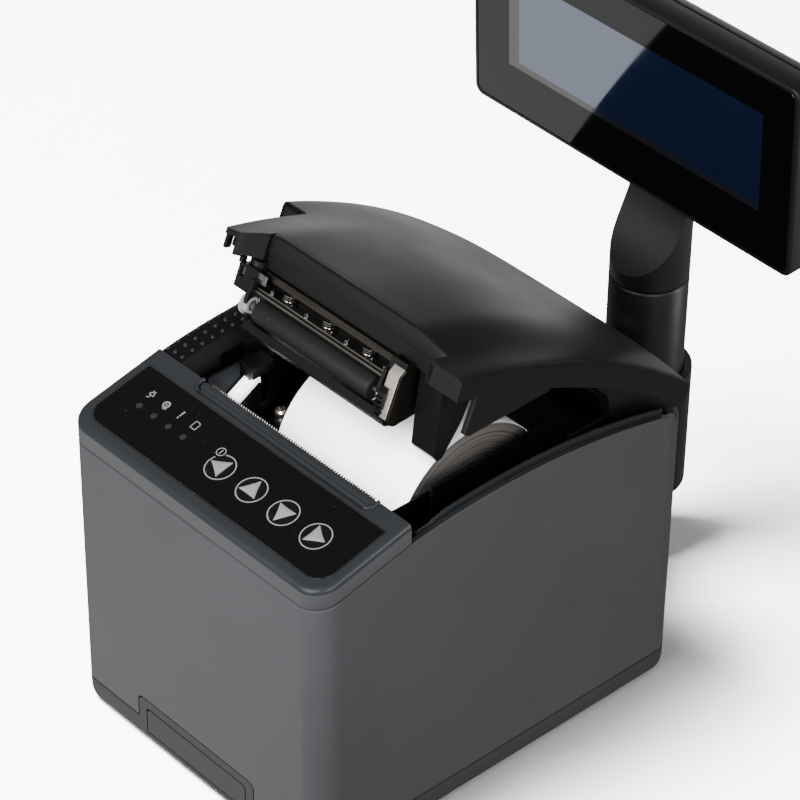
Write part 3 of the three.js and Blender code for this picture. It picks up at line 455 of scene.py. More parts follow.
moulded("matte_black", (0.01, 0.01, 0.0105), 0.6, Specular_IOR_Level=0.2)
moulded("dull_plastic", (0.02, 0.022, 0.025), 0.75, Specular_IOR_Level=0.12)
moulded("film_edge", (0.1, 0.1, 0.1), 0.45, grain=1.0, size=500, specks=0.25, drift=0.5)
moulded("cell_border", (0.012, 0.014, 0.02), 0.07, grain=0.0, IOR=2.05, Specular_Tint=(1, 0.96, 0.92, 1))
moulded("print_ink", (0.85, 0.86, 0.87), 0.35, grain=0.1, Metallic=0.3)

slot_of = {part["node"]: part["material_slot"] for part in frame["record"]["subparts"]}
for name, part in frame["nodes"].items():
    part.data.materials.clear()
    part.data.materials.append(LOOKS[slot_of[name]])

# --- printer body: outer case ---
ROOT = "printer_body"


def plan(inset):
    """The body's outline from above, with extra points down its long sides."""
    corner = CORNER - inset
    x, y = HALF_W - CORNER, HALF_D - CORNER
    side = [(HALF_W - inset, t) for t in steps(-y, y, 60)[1:-1]]
    right = arc((x, -y), corner, -90, 0, 12) + side + arc((x, y), corner, 0, 90, 12)
    return right + [(-a, b) for a, b in reversed(right)]


def case_top(y):
    if y < PANEL_REAR_Y:
        return seam_z(y) - 0.35
    return arc_z(RIM, y) if y < REAR_WALL_Y else REAR_WALL_TOP


SEAM = 0.45  # seams are drawn this much wider than the fitting gap


def outer_case():
    soft = 0.6
    bend = [(soft - soft * sine(a), soft - soft * cosine(a)) for a in (90, 60, 30, 0)]
    foot = TRAY_TOP + GAP + SEAM
    rings = [at_height(plan(inset), foot + drop) for inset, drop in reversed(bend)]
    rings += [[(x, y, case_top(y) - drop) for x, y in plan(inset)] for inset, drop in bend]
    rings += [[(x, y, case_top(y) - drop) for x, y in plan(WALL - inset)] for inset, drop in reversed(bend)]
    rings.append(at_height(plan(WALL), foot))
    shell = closed_loop(loft(rings + rings[:1], caps=False))
    arms = [block(pair(s, HINGE_X[0] - 0.8, HINGE_X[1] + 0.8), (96, 110), (122.5, 160)) for s in (-1, 1)]
    half = TAB_HALF + GAP + SEAM
    tab = prism(rounded(-half, half, 0, TAB_TOP + GAP + SEAM, (0, 0, 3.6, 3.6)), "y", -108, -100)
    rear = block((-62, 30), (100, 108), (0, 46))
    return cut(shell, *arms, tab, rear)


def side_lip(side, start):
    """Second rim inside the outer one, across a narrow groove."""
    course = [start] + [y for y in steps(-50, 92, 71) if y > start]
    notch = [1.2 * (y < -40.6) + 0.6 * (y < -35.2) for y in course]
    outer = [(y, arc_z(LIP, y) - n) for y, n in zip(course, notch)]
    low = [(y, arc_z(RIM, y) - 6) for y in reversed(course)]
    groove = [(y, arc_z(RIM, y) - 2) for y in course]
    web = pair(side, LIP_X[1] - 0.1, HALF_W - WALL + 0.1)
    return joined(prism(outer + low, "x", *pair(side, *LIP_X)), prism(groove + low, "x", *web))


def lugs():
    """Plates either side of the slots that the lid's hinge arms swing in."""
    places = ((HINGE_X[0] - 3.2, HINGE_X[0] - 0.8), (HINGE_X[1] + 0.8, HINGE_X[1] + 3.2))
    return [block(pair(s, *x), (REAR_WALL_Y, 104.5), (121, 136)) for s in (-1, 1) for x in places]


piece("case_shell", outer_case(), "body_plastic", ROOT, stands_for="outer_case", sharp=50)
# The lips and the lugs are body plastic drawn in the darker panel colour; on the lips this is painted shade on the
# case's rim.
piece("case_lips", joined(side_lip(1, -50), side_lip(-1, LEVER["y"][1] + 4), *lugs()), "panel_plastic",
      ROOT, edge=0.5, slot="body_plastic")


def rim_strip(side):
    """Slate strip laid on the top of the case's side wall, which is body plastic: painted shade that darkens the
    wall's top to the panel colour.
    """
    course = steps(PANEL_REAR_Y + GAP, 92, 73)
    top = [(y, arc_z(RIM, y) + 0.08) for y in course]
    low = [(y, arc_z(RIM, y) - 0.3) for y in reversed(course)]
    return prism(top + low, "x", *pair(side, LIP_X[1] + 0.6, HALF_W - 0.35))


piece("case_rim_shade_strips", joined(rim_strip(1), rim_strip(-1)), "panel_plastic", ROOT, slot="body_plastic")

# --- printer body: front panel ---


def panel_plan(inset):
    r = CORNER - inset
    return rounded(-HALF_W + inset, HALF_W - inset, -HALF_D + inset, PANEL_REAR_Y - GAP, (r, r, 0, 0), 10)


def sloped(points, z):
    return [(x, y, z + (y + HALF_D) * math.tan(SLOPE)) for x, y in points]


# Outset and depth of the paper exit's edge: it steps down, rises to a ridge and drops again.
TROUGH = ((1.5, -0.06), (0.9, 0.08), (0.45, 0.3), (0.15, 0.7), (0, 1.15), (-0.2, 1.6), (-0.6, 1.95),
          (-1.1, 2.0), (-1.5, 1.75), (-1.8, 1.35), (-2.1, 1.1), (-2.5, 1.02), (-2.9, 1.15), (-3.2, 1.5),
          (-3.4, 2.0), (-3.6, 2.7), (-4.0, 3.2), (-4.6, 3.4))


def trough():
    """Cutter for the stepped, rounded trough that the paper leaves by; its ends curl to the rear."""
    x0, x1, front, radius = EXIT_X[0] - 3.4, EXIT_X[1] + 5.6, 45.2, 4.9

    def ring(outset, z):
        r = radius + outset
        return at_height(rounded(x0 - outset, x1 + outset, front - outset, 60, (r, r, 0, 0), 10), z)
    return loft([ring(TROUGH[0][0], 4)] + [ring(outset, -depth) for outset, depth in TROUGH])


PANEL_EDGE = 2.4  # rounding of the panel's top edge
SKIRT_WALL = 0.6


def membrane_outline(inset=0.0, rear_radius=1.0):
    half, radius = MEMBRANE["half"] - inset, 9 - inset
    return rounded(-half, half, MEMBRANE["front"] + inset, MEMBRANE["rear"] - inset,
                   (radius, radius, rear_radius, rear_radius))


def front_panel():
    top = SEAM_FRONT_Z + PANEL_HEIGHT
    angles = (90, 76, 62, 48, 34, 20, 8, 0)
    bend = [(PANEL_EDGE * (1 - sine(a)), PANEL_EDGE * (1 - cosine(a))) for a in angles]
    rings = [sloped(panel_plan(SKIRT_WALL + 0.1), z) for z in (SEAM_FRONT_Z + GAP, top - PANEL_EDGE - 0.06)]
    rings += [sloped(panel_plan(inset), top - drop) for inset, drop in bend]
    inner = rounded(-HALF_W + WALL, HALF_W - WALL, -HALF_D + WALL, PANEL_REAR_Y - 2.4, 4)
    hollow = loft([sloped(inner, top - depth) for depth in (16.2, 4.2)])
    to_slope = BODY.inverted() @ PANEL
    recess = prism(membrane_outline(), "z", -MEMBRANE["depth"], 4)
    wells = [rod("z", -9, 1, KEY_RADIUS + 0.4, x, KEY_UP) for x in KEY_X]
    return cut(loft(rings), hollow, *[moved(tool, to_slope) for tool in (recess, trough(), *wells)])


piece("front_panel_shell", front_panel(), "panel_plastic", ROOT, stands_for="front_panel", sharp=40)


def within_walls(band, wall):
    """Hollows out a band that runs round the front panel, down to the wall's thickness."""
    r = CORNER - wall
    outline = rounded(-HALF_W + wall, HALF_W - wall, -HALF_D + wall, PANEL_REAR_Y + 5, (r, r, 0, 0), 12)
    return cut(band, prism(outline, "z", 120, 200))


def panel_skirt():
    """Band of the case's own colour round the panel's vertical sides, above the dark seam."""
    low, high = SEAM_FRONT_Z + GAP + 0.45, SEAM_FRONT_Z + PANEL_HEIGHT - PANEL_EDGE
    band = loft([sloped(panel_plan(0.35), low), sloped(panel_plan(0.1), low + 0.12),
                 sloped(panel_plan(0), low + 0.4), sloped(panel_plan(0), high)])
    return within_walls(band, SKIRT_WALL)


piece("front_panel_skirt", panel_skirt(), "body_plastic", ROOT, slot="panel_plastic")


def panel_tongue():
    """Dark band inside the walls that closes the seam between the case and the front panel; it is drawn matte
    black, darker than the panel plastic, as painted shade in the seam.
    """
    outline = panel_plan(WALL + 0.2)
    return within_walls(loft([sloped(outline, SEAM_FRONT_Z + step) for step in (-3, 5)]), WALL + 1)


piece("front_panel_shade_tongue", panel_tongue(), "matte_black", ROOT, slot="panel_plastic")


def exit_horn(x, y, turn):
    """Small curl that ends the exit's ridge: a quarter bend with a rounded tip."""
    curl = 3.2
    path = [(x - turn * curl + turn * curl * sine(a), y - curl * cosine(a), -0.75) for a in steps(0, 90, 6)]
    path += [(x, y + 1.6, -0.45), (x - turn * 0.1, y + 2.8, -0.5)]
    return tube_along(path, 0.85, 12)


horns = [exit_horn(EXIT_X[0] - 2.6, 49.3, -1), exit_horn(EXIT_X[1] + 4.9, 49.3, 1)]
piece("exit_horns", joined(*horns), "panel_plastic", ROOT, PANEL, sharp=60)


def membrane():
    course = ((GAP, -MEMBRANE["depth"] + 0.25), (GAP, -0.3), (GAP + 0.25, -0.05))
    sheet = loft([at_height(membrane_outline(inset, 0.8), z) for inset, z in course])
    holes = [rod("z", -3, 2, KEY_RADIUS + 0.25, x, KEY_UP, 48) for x in KEY_X]
    windows = [rod("z", -3, 2, 1.75, x, LED_UP, 24) for x in LED_X]
    return cut(sheet, *holes, *windows)


piece("membrane_sheet", membrane(), "gloss_panel", ROOT, PANEL, "panel_membrane")


def outline_strip(inset, width, z):
    """Thin closed strip that follows the membrane's outline."""
    course = ((inset, z - 0.1), (inset, z), (inset + width, z), (inset + width, z - 0.1))
    return loft([at_height(membrane_outline(step, max(1 - step, 0.1)), height) for step, height in course],
                caps=False)


piece("membrane_edge", outline_strip(0.32, 0.22, 0.0), "film_edge", ROOT, PANEL, slot="gloss_panel")

INK_LOW, INK_HIGH = -0.05, 0.02


def flat_print(outline):
    return prism(outline, "z", INK_LOW, INK_HIGH)


def ring_print(x, y, radius, width, first=0, last=360, sides=64):
    """Printed ring or part of one."""
    outer = arc((x, y), radius + width / 2, first, last, sides)
    inner = arc((x, y), radius - width / 2, first, last, sides)
    bm = bmesh.new()
    rows = [[bm.verts.new((a, b, z)) for a, b in line] for line, z in
            ((inner, INK_LOW), (inner, INK_HIGH), (outer, INK_HIGH), (outer, INK_LOW))]
    for low, high in zip(rows, rows[1:]):
        for i in range(sides):
            bm.faces.new((low[i], low[i + 1], high[i + 1], high[i]))
    return bm


def bar_print(start, end, width):
    """Printed straight line with square ends."""
    a, b = Vector(start), Vector(end)
    side = (b - a).normalized().orthogonal() * width / 2
    return flat_print([tuple(a - side), tuple(b - side), tuple(b + side), tuple(a + side)])


def line_print(points):
    return joined(*[bar_print(a, b, 0.42) for a, b in zip(points, points[1:])])


POWER_MARK = (-11.8, 28.6)
KEY_RING = 6.78


def panel_print():
    """Rings round the keys, the small power mark and four status icons above the indicators."""
    marks = [ring_print(KEY_X[0], KEY_UP, KEY_RING, 0.55, 157, 478)]
    marks += [ring_print(x, KEY_UP, KEY_RING, 0.55) for x in KEY_X[1:]]
    x, y = POWER_MARK
    row = 31.6
    plug, roll, alarm, page = [led - 0.6 for led in LED_X]
    marks += [bar_print((plug + dx, row + 0.9), (plug + dx, row + 2.1), 0.4) for dx in (-0.6, 0.6)]
    marks += [
        ring_print(x, y, 2.1, 0.42),
        bar_print((x, y - 1.2), (x, y + 1.2), 0.5),
        ring_print(plug, row - 0.2, 1.3, 0.5, -20, 200, 24),
        line_print([(plug - 1.5, row - 0.5), (plug + 1.5, row - 0.5)]),
        line_print([(plug, row - 0.6), (plug, row - 1.9), (plug - 1.2, row - 2.4)]),
        ring_print(roll, row, 1.5, 0.8, sides=32),
        flat_print(arc((roll, row), 0.5, 0, 345, 12)),
        line_print([(roll + 1.4, row - 0.4), (roll + 1.7, row - 2.2), (roll - 0.2, row - 2.4)]),
        flat_print([(alarm - 0.25, row - 0.9), (alarm + 0.25, row - 0.9), (alarm + 0.5, row + 2.3),
                    (alarm - 0.5, row + 2.3)]),
        flat_print(arc((alarm, row - 1.8), 0.45, 0, 345, 12)),
        line_print([(page - 1.5, row - 2), (page + 1.5, row - 2), (page + 1.5, row + 1.2),
                    (page + 0.6, row + 2), (page - 1.5, row + 2), (page - 1.5, row - 2)])]
    return joined(*marks)


piece("panel_print", panel_print(), "print_ink", ROOT, PANEL, slot="key_caps")


def dished_cap():
    """Round key with a shallow dish."""
    r = KEY_RADIUS
    return turned([(r - 1.2, -2.6), (r - 1.2, -0.72), (r, -0.72), (r, 0.0), (r - 0.12, 0.2), (r - 0.4, 0.3),
                   (r * 0.7, 0.22), (r * 0.35, 0.14), (0.2, 0.1)])


def triangle_mark(turn):
    """Raised triangle with slightly hollow sides, one corner turned towards the given angle."""
    reach = 6.3
    tips = [Vector((reach * cosine(turn + k), reach * sine(turn + k))) for k in (0, 120, 240)]
    outline = []
    for a, b in zip(tips, tips[1:] + tips[:1]):
        inward = -(a + b).normalized() * 0.25
        outline += [a.lerp(b, t) + inward * math.sin(math.pi * t)
                    for t in (0.02, 0.15, 0.3, 0.5, 0.7, 0.85, 0.98)]
    course = ((0.93, 0.1), (0.9, 0.52), (0.82, 0.62), (0.3, 0.75))
    return loft([[(p.x * share, p.y * share, z) for p in outline] for share, z in course])


KEYS = (("clear_key", "key_clear", 180), ("up_key", "key_up", 90), ("down_key", "key_down", -90),
        ("confirm_key", "key_confirm", 0))
for x, (body, cad_name, turn) in zip(KEY_X, KEYS):
    here = PANEL @ Matrix.Translation((x, KEY_UP, 0))
    piece(f"{body}_cap", dished_cap(), "key_caps", body, here, cad_name)
    piece(f"{body}_mark", triangle_mark(turn), "print_ink", body, here, slot="key_caps")


def tear_blade():
    """Thin steel strip with fine teeth along the rear edge of the trough."""
    pitch, first, last = 1.5, EXIT_X[0] + 2, EXIT_X[1] + 2.5
    count = int((last - first) / pitch)
    tooth = ((0, 0), (0.42, 1.15), (0.58, 1.15))
    edge = [(first + (i + step) * pitch, rise) for i in range(count) for step, rise in tooth]
    end = first + count * pitch
    return prism([(first, -2.4)] + edge + [(end, 0), (end, -2.4)], "z", 0, 0.55)


BLADE = PANEL @ Matrix.Translation((0, 51.9, -2.2))
piece("tear_blade", tear_blade(), "steel", ROOT, BLADE, "tear_bar")
cover = prism([(-4.2, -0.4), (-4.2, 0.56), (-3.4, 1.0), (-1.2, 1.15), (-0.35, 1.0), (0.1, 0.56), (0.1, -0.4)],
              "x", EXIT_X[0] - 0.6, EXIT_X[1] + 3.2)
piece("tear_blade_cover", cover, "panel_plastic", ROOT, BLADE)

# --- base tray, door and paper well ---
REAR_SOCKETS = ("power_socket", "usb_socket", "serial_socket", "drawer_socket")


def base_tray():
    """Shallow tray with a rounded foot, a raised tab round the door and a rear plate for the sockets."""
    course = ((2.6, FOOT_HEIGHT), (1.6, 2.1), (0.85, 3.2), (0.35, 4.7), (0.08, 6.6), (0, 8.5),
              (0, TRAY_TOP - 0.4), (0.12, TRAY_TOP - 0.12), (0.4, TRAY_TOP))
    shell = loft([at_height(plan(inset), z) for inset, z in course])
    hollow = loft([at_height(plan(WALL + TRAY_INSET), z) for z in (FOOT_HEIGHT + WALL, TRAY_TOP + 1)])
    tab = prism(rounded(-TAB_HALF, TAB_HALF, 8, TAB_TOP, (0, 0, 3, 3)), "y", -HALF_D, -HALF_D + 3)
    plate = block((-60, 28), (HALF_D - WALL, HALF_D - 1), (6, 44))
    opening = prism(rounded(-DOOR_HALF, DOOR_HALF, DOOR_BOTTOM, DOOR_TOP, (0, 0, 2, 2)), "y",
                    -HALF_D - 2, -HALF_D + 6.5)
    sockets = []
    for socket in REAR_SOCKETS:
        low, high = (BODY.inverted() @ Vector(corner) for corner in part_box(socket))
        sockets.append(block((low.x - GAP, high.x + GAP), (high.y - 8, HALF_D + 1),
                             (low.z - GAP, high.z + GAP)))
    return cut(boolean(shell, [tab], "UNION"), hollow, opening), cut(plate, *sockets)


tray, socket_plate = base_tray()
piece("tray_shell", tray, "tray_plastic", ROOT, stands_for="base_tray", edge=0.3, segments=2)
piece("tray_socket_plate", socket_plate, "tray_plastic", ROOT, edge=0.3, segments=2)


def service_door():
    """Door leaf with softly rounded corners; its lower edge is the round hinge barrel."""
    thick, gap = 2.2, GAP + SEAM
    hinge = (-HALF_D + thick / 2, DOOR_BOTTOM + GAP + thick / 2)
    half, top = DOOR_HALF - gap, DOOR_TOP - gap - 0.2
    section = arc(hinge, thick / 2, 180, 360, 12) + [(-HALF_D + thick, top), (-HALF_D, top)]
    leaf = prism(section, "x", -half, half)
    front = prism(rounded(-half, half, 0, top, (0, 0, 1.8, 1.8)), "y", -HALF_D - 1, -HALF_D + thick + 1)
    return boolean(leaf, [front], "INTERSECT")


piece("door_leaf", service_door(), "tray_plastic", "door", stands_for="service_door", edge=0.35)
for name in ("rear_bracket", "latch_bracket", "inner_plate", "well_screw", "fiscal_memory", *REAR_SOCKETS):
    soften(name, 0.35)


def guide_rail():
    """Sloping white rail with a groove down its middle."""
    top = [(-52, 129), (-50, 131), (-34, 142), (-22.5, 148.6), (-21.5, 147.6)]
    low = [(y + 1.2 * (y < -50), z - 3) for y, z in top]
    bar = prism(top + low[::-1], "x", -60.4, -53.6)
    groove = prism([(y, z + 2) for y, z in top] + [(y, z - 0.9) for y, z in top[::-1]], "x", -57.4, -55.9)
    return cut(bar, groove)


piece("guide_rail_bar", guide_rail(), "white_plastic", ROOT, stands_for="guide_rail", edge=0.4)
leg = prism([(-50.6, 121.4), (-27, 121.4), (-27, 142.6), (-34, 138.7), (-50.6, 127.4)], "x", -60.2, -53.4)
piece("guide_rail_leg", leg, "black_plastic", ROOT, slot="white_plastic")

slot_wall = block((47.45, 48.2), (-46.2, -15.8), (118, 142.3))  # beside the guide arm's slot
piece("well_slot_wall", slot_wall, "matte_black", ROOT, slot="black_plastic")

# --- release lever ---


def lever():
    x0, x1 = LEVER["x"]
    course = steps(*LEVER["y"], 24)
    rings = []
    for y in course:
        low, high = arc_z(RIM, y) + 1, arc_z(CREASE, y, -0.2)
        rings.append([(x0, y, low), (x1, y, low), (x1, y, high - 0.5), (x1 - 0.15, y, high - 0.15),
                      (x1 - 0.5, y, high), (x0 + 4, y, high), (x0 + 1.8, y, high - 0.5),
                      (x0 + 0.6, y, high - 1.4), (x0, y, high - 2.8)])
    stem = block((x0 + 3.2, x0 + 7.2), (-24.4, -14.4), (138, 157))
    hub = rod("x", x0 + 3.2, x0 + 7.2, 5, -19.4, 138)
    return joined(loft(rings), stem, hub)


def grip_dots():
    dome = [(1.0, -0.3), (0.95, 0.2), (0.75, 0.5), (0.45, 0.7), (0.05, 0.78)]
    dots = []
    for x in (-77.8, -73.0, -68.2):
        for y in steps(-52.6, -13.4, 7):
            z = arc_z(CREASE, y, -0.2) - 0.4 * (x < -77)
            dots.append(turned([(r, z + rise) for r, rise in dome], centre=(x, y), sides=20))
    return dots


piece("lever_body", lever(), "matte_black", "lever", BODY, "release_lever", edge=0.25, slot="black_plastic")
# The grip dots are drawn in the lighter panel plastic on the black lever: painted highlight on the dots.
piece("lever_grip_painted_highlight", joined(*grip_dots()), "panel_plastic", "lever", slot="black_plastic")

# --- paper roll ---
ROLL_X = (-35.5, 44)
ROLL_RADIUS = 41.5
ROLL_BORE = 13.2
roll_axis = in_body("roll_spin")


def roll_tube(x0, x1, outer, inner, edge):
    """Ring of paper or card about the roll's axis, with slightly rounded outer edges."""
    profile = [(inner, x0), (outer - edge, x0), (outer - edge * 0.3, x0 + edge * 0.3), (outer, x0 + edge),
               (outer, x1 - edge), (outer - edge * 0.3, x1 - edge * 0.3), (outer - edge, x1), (inner, x1)]
    return closed_loop(turned(profile + profile[:1], "x", (roll_axis.y, roll_axis.z), 160, caps=False))


piece("paper_web", roll_tube(*ROLL_X, ROLL_RADIUS, ROLL_BORE, 0.25), "paper", "roll",
      stands_for="paper_roll")
# The ends take the grey painted-shade look, not the paper's white; only the fine lines of the turns are real.
for side, x in (("left", ROLL_X[0]), ("right", ROLL_X[1])):
    place = sorted((x, x + math.copysign(0.12, x)))
    piece(f"paper_end_{side}", roll_tube(*place, ROLL_RADIUS - 0.25, ROLL_BORE + 0.1, 0.02),
          "shaded_paper_ends", "roll", slot="paper")
turn_edge = roll_tube(36, 36.1, ROLL_RADIUS + 0.03, ROLL_RADIUS - 0.3, 0.01)
piece("paper_turn_edge", turn_edge, "paper_line", "roll", slot="paper")
piece("roll_tube", roll_tube(*ROLL_X, 12.9, 11.2, 0.2), "card", "roll", stands_for="roll_core")

# --- lid ---
LID_HALF = HALF_W - 0.3
LID_Y = (-55, 94.6)
CROWN = {"rise": 3.6, "flat": 40, "foot": 70, "front": -20, "rear": 40}
MOUTH = (-57, 62)  # the paper exit widens to these at the lid's front
NOTCH = (-65.3, -8.5)


def ease(value):
    return (1 - math.cos(math.pi * min(max(value, 0), 1))) / 2


def crown(x, y):
    """Height of the lid's skin above its side creases: stepped near the front, even at the rear."""
    stepped = 1 - ease((abs(x) - CROWN["flat"]) / (CROWN["foot"] - CROWN["flat"]))
    even = 1 - abs(x / LID_HALF) ** 4
    blend = ease((y - CROWN["front"]) / (CROWN["rear"] - CROWN["front"]))
    return CROWN["rise"] * (stepped + (even - stepped) * blend)


def lid_section(y, offset, half):
    bottom = arc_z(RIM, y) + 0.8
    crease = arc_z(CREASE, y) - offset
    across = [(x, y, crease + crown(x, y)) for x in steps(half - 2.6, 2.6 - half, 48)]
    side = [(half, y, bottom), (half, y, crease - 3), (half - 0.12, y, crease - 1.9),
            (half - 0.5, y, crease - 1.0), (half - 1.3, y, crease - 0.2)]
    return side + across + [(-x, y2, z) for x, y2, z in reversed(side)]


def lid_body(offset, half, y0, y1):
    return loft([lid_section(y, offset, half) for y in steps(y0, y1, 48)])


def lid_cover():
    outer = lid_body(0, LID_HALF, *LID_Y)
    inner = moved(lid_body(WALL, LID_HALF - WALL, LID_Y[0] + 2.4, LID_Y[1] - 2.4),
                  Matrix.Translation((0, 0, -0.05)))
    notch = prism(rounded(-100, NOTCH[0], -80, NOTCH[1], (0, 0, 2.1, 0)), "z", 100, 200)
    left, right, back = *MOUTH, -43.4
    mouth = prism([(left, -80), (left, LID_Y[0]), (EXIT_X[0] - 1, -46.5), (EXIT_X[0], back),
                   (right, back), (right, -80)], "z", 100, 200)
    behind = moved(lid_body(WALL, LID_HALF - WALL, -72, LID_Y[1]), Matrix.Translation((0, 0, -0.3)))
    corner = boolean(block((NOTCH[0] - 0.5, left - 1.2), (-70, -50), (120, 200)), [behind], "INTERSECT")
    return cut(outer, inner, corner, notch, mouth)


def lid_walls():
    """Inner walls that close the lid's skin along the notch and the paper exit."""
    def wall(x, y, foot):
        return boolean(block(x, y, (foot, 200)), [lid_body(0.4, LID_HALF - 0.3, *LID_Y)], "INTERSECT")
    x, y = NOTCH
    return joined(
        wall((x, x + 1.8), (LID_Y[0] + 1, -51), 153.5),
        wall((x, x + 1.8), (-49, y + 2), 156),
        wall((x + 4.4, x + 5.8), (LID_Y[0] + 3, -44), 158),
        wall((x, EXIT_X[0]), (-46.5, -44.7), 157.5),
        wall((-LID_HALF, x + 2.2), (y, y + 2.2), 158),
        wall((MOUTH[1], MOUTH[1] + 2.2), (LID_Y[0], -41), 156))


def mouth_column():
    """Solid corner between the lid's front edge and the left end of its lip."""
    left, right, front, back = MOUTH[0], EXIT_X[0] - 0.2, LID_Y[0] + 0.1, -41
    outline = [(left - 1.3, front), (left + 0.6, front), (left + 2.2, -53.6), (right - 1.4, -47),
               (right, -45.6), (right, back), (left + 2, back)]
    return boolean(prism(outline, "z", 157.5, 200), [lid_body(0.05, LID_HALF - 0.3, *LID_Y)], "INTERSECT")


def exit_lip():
    """Bar with a rounded top and rounded ends across the paper exit; its lower half steps back."""
    low = [(-44.6, 155), (-42.6, 155), (-42.6, 160)]
    top = [(-39.5, 167.5), (-41.2, 170.6)] + arc((-44.3, 168.9), 1.8, 75, 175, 8)
    front = [(-46.15, 166), (-46.3, 162.6), (-46.0, 161.9), (-45.3, 161.6)]
    ends = ((0, 0.5), (0.25, 0.32), (0.8, 0.18), (1.7, 0.07), (3.0, 0.015))
    x0, x1 = EXIT_X[0] - 1, MOUTH[1] + 0.6

    def ring(x, draw=0.0):
        sink = CROWN["rise"] - crown(x, LID_Y[0])
        points = low + [(y, z - sink) for y, z in top] + front
        return [(x, y + (-40 - y) * draw, z + (157 - z) * draw * 0.3) for y, z in points]
    return loft([ring(x0 + step, draw) for step, draw in ends]
                + [ring(x) for x in steps(x0 + 4.5, x1 - 4.5, 40)]
                + [ring(x1 - step, draw) for step, draw in reversed(ends)])


lid_piece("lid_skin", lid_cover(), "lid_plastic", "lid_cover", edge=0.5)
lid_piece("lid_inner_walls", lid_walls(), "lid_plastic", edge=0.3)
lid_piece("lid_exit_lip", exit_lip(), "lid_plastic", edge=0.4)
lid_piece("lid_mouth_corner", mouth_column(), "lid_plastic", edge=0.8)
soften("lid_liner", 0.6)

# --- print mechanism ---
for name in ("mech_frame_left", "mech_frame_right", "print_head", "platen_gear", "idler_gear",
             "motor_pinion", "feed_motor", "lower_guide", "guide_arm", "platen_bushing_left",
             "platen_bushing_right"):
    soften(name, 0.25)
frame["nodes"]["print_head"].data.materials[0] = LOOKS["black_plastic"]
frame["nodes"]["inner_plate"].data.materials[0] = LOOKS["dull_plastic"]
INNER_X = (-43.6, 37)


def bent_sheet(y, z, thick):
    """Sheet strip with its front edge folded up a little."""
    return prism([(y[0], z), (y[1], z), (y[1], z + thick), (y[0] + 1.2, z + thick),
                  (y[0] + 0.6, z + thick * 2), (y[0], z + thick * 2)], "x", *INNER_X)


upper = prism([(-46.6, 151.6), (-45.4, 150.6), (-40.4, 150.6), (-40.4, 151.2), (-45.2, 151.2),
               (-46.0, 151.9), (-46.0, 154.2), (-41, 154.2), (-41, 154.6), (-46.6, 154.6)], "x", *INNER_X)
lid_piece("upper_plate_sheet", upper, "dark_steel", "upper_plate", edge=0.15, segments=2, slot="steel")
sheets = joined(bent_sheet((-50, -40.2), 145.25, 0.45), bent_sheet((-49, -40.2), 146.7, 0.35))
lid_piece("lower_plate_sheets", sheets, "steel", "lower_plate")
lid_piece("lower_plate_core", block(INNER_X, (-48.4, -40.4), (145.75, 146.68)), "black_plastic")
lid_piece("plate_slot_back", block(INNER_X, (-40.9, -40.45), (147.1, 150.55)), "matte_black",
          slot="black_plastic")
screw = [(1.3, 147.1), (1.3, 147.9), (0.9, 148.2), (0.35, 148.2), (0.3, 147.9)]
screws = joined(*[turned(screw, centre=(x, -45.6), sides=20) for x in (-38, -16, 9, 33)])
lid_piece("plate_screws", screws, "polished_steel")


def side_cover():
    """Plate over the gear train, with a rounded bottom."""
    outer = [(-49.4, 153.4), (-51.4, 150.6), (-51.4, 136.5)] + arc((-46.6, 132.4), 4.8, 180, 310, 12) \
        + [(-33, 134), (-27.6, 141), (-27.2, 153.4)]
    return prism(outer, "x", 45.2, 47.2)


lid_piece("side_cover_plate", side_cover(), "dark_steel", "side_cover", edge=0.6, slot="steel")
strip = prism([(-52.9, 131), (-52.3, 131), (-52.3, 150), (-50.2, 153.4), (-50.7, 153.9), (-52.9, 150.4)],
              "x", 41, 47.2)
strip = cut(strip, block((38, 43.6), (-56, -48), (120, 139.6)))
lid_piece("side_cover_strip", strip, "tin", edge=0.3, slot="steel")


def left_housing():
    """Latch housing at the mechanism's left end, with a recess, a slot and a hook."""
    shell = block((-56.5, -46.8), (-50.5, -41), (142.5, 153.6))
    recess = block((-55, -50.2), (-52, -48.6), (148.2, 152.4))
    slot = block((-58, -54), (-49.2, -43.5), (144, 147.6))
    hook = prism([(-50.5, 153), (-47.2, 153), (-47.2, 156), (-49.4, 156.4), (-50.5, 155.2)],
                 "x", -57.6, -55.6)
    return joined(cut(shell, recess, slot), hook)


lid_piece("latch_housing", left_housing(), "black_plastic", edge=0.4)
lid_piece("latch_insert", block((-54.8, -50.4), (-49.2, -48.7), (148.4, 152.2)), "steel", edge=0.2)
boss = turned([(4.4, 153), (4.4, 156.6), (4.1, 157), (3.7, 157), (3.6, 154.2), (0.5, 154.1)],
              "z", (-50.5, -44.6))
lid_piece("latch_boss", boss, "black_plastic")
bracket = prism([(-49.6, 149.4), (-43.4, 149.4), (-43.4, 150), (-49, 150), (-49, 153.6), (-49.6, 153.6)],
                "x", -46.6, -39.5)
lid_piece("upper_bracket", bracket, "polished_steel", edge=0.12, slot="steel")
box_right = cut(block((37.4, 47), (-50, -41), (150.2, 156)), block((39, 45.6), (-48.6, -42.4), (152, 160)))
lid_piece("right_bracket", box_right, "black_plastic", edge=0.4)


def coil(x, y, low, high, radius, wire, turns):
    whole = 360 * turns
    path = [(x + radius * cosine(a), y + radius * sine(a), low + (high - low) * a / whole)
            for a in steps(0, whole, turns * 20)]
    return tube_along(path, wire, 8)


for side, x in (("left", -29), ("middle", -4), ("right", 21)):
    lid_piece(f"coil_{side}", coil(x, -44.4, 147.2, 150.3, 2.6, 0.36, 3), "polished_steel",
              f"head_spring_{side}")

PLATEN_X = (-39.5, 33.4)
PLATEN_RADIUS = 5.5
PLATEN_AXIS = (-48, 138.5)
platen = rod("x", *PLATEN_X, PLATEN_RADIUS, *PLATEN_AXIS, 64, edge=1.3)
piece("platen_rubber", platen, "rubber", "platen", LID, "platen_roller")

# --- post and display ---


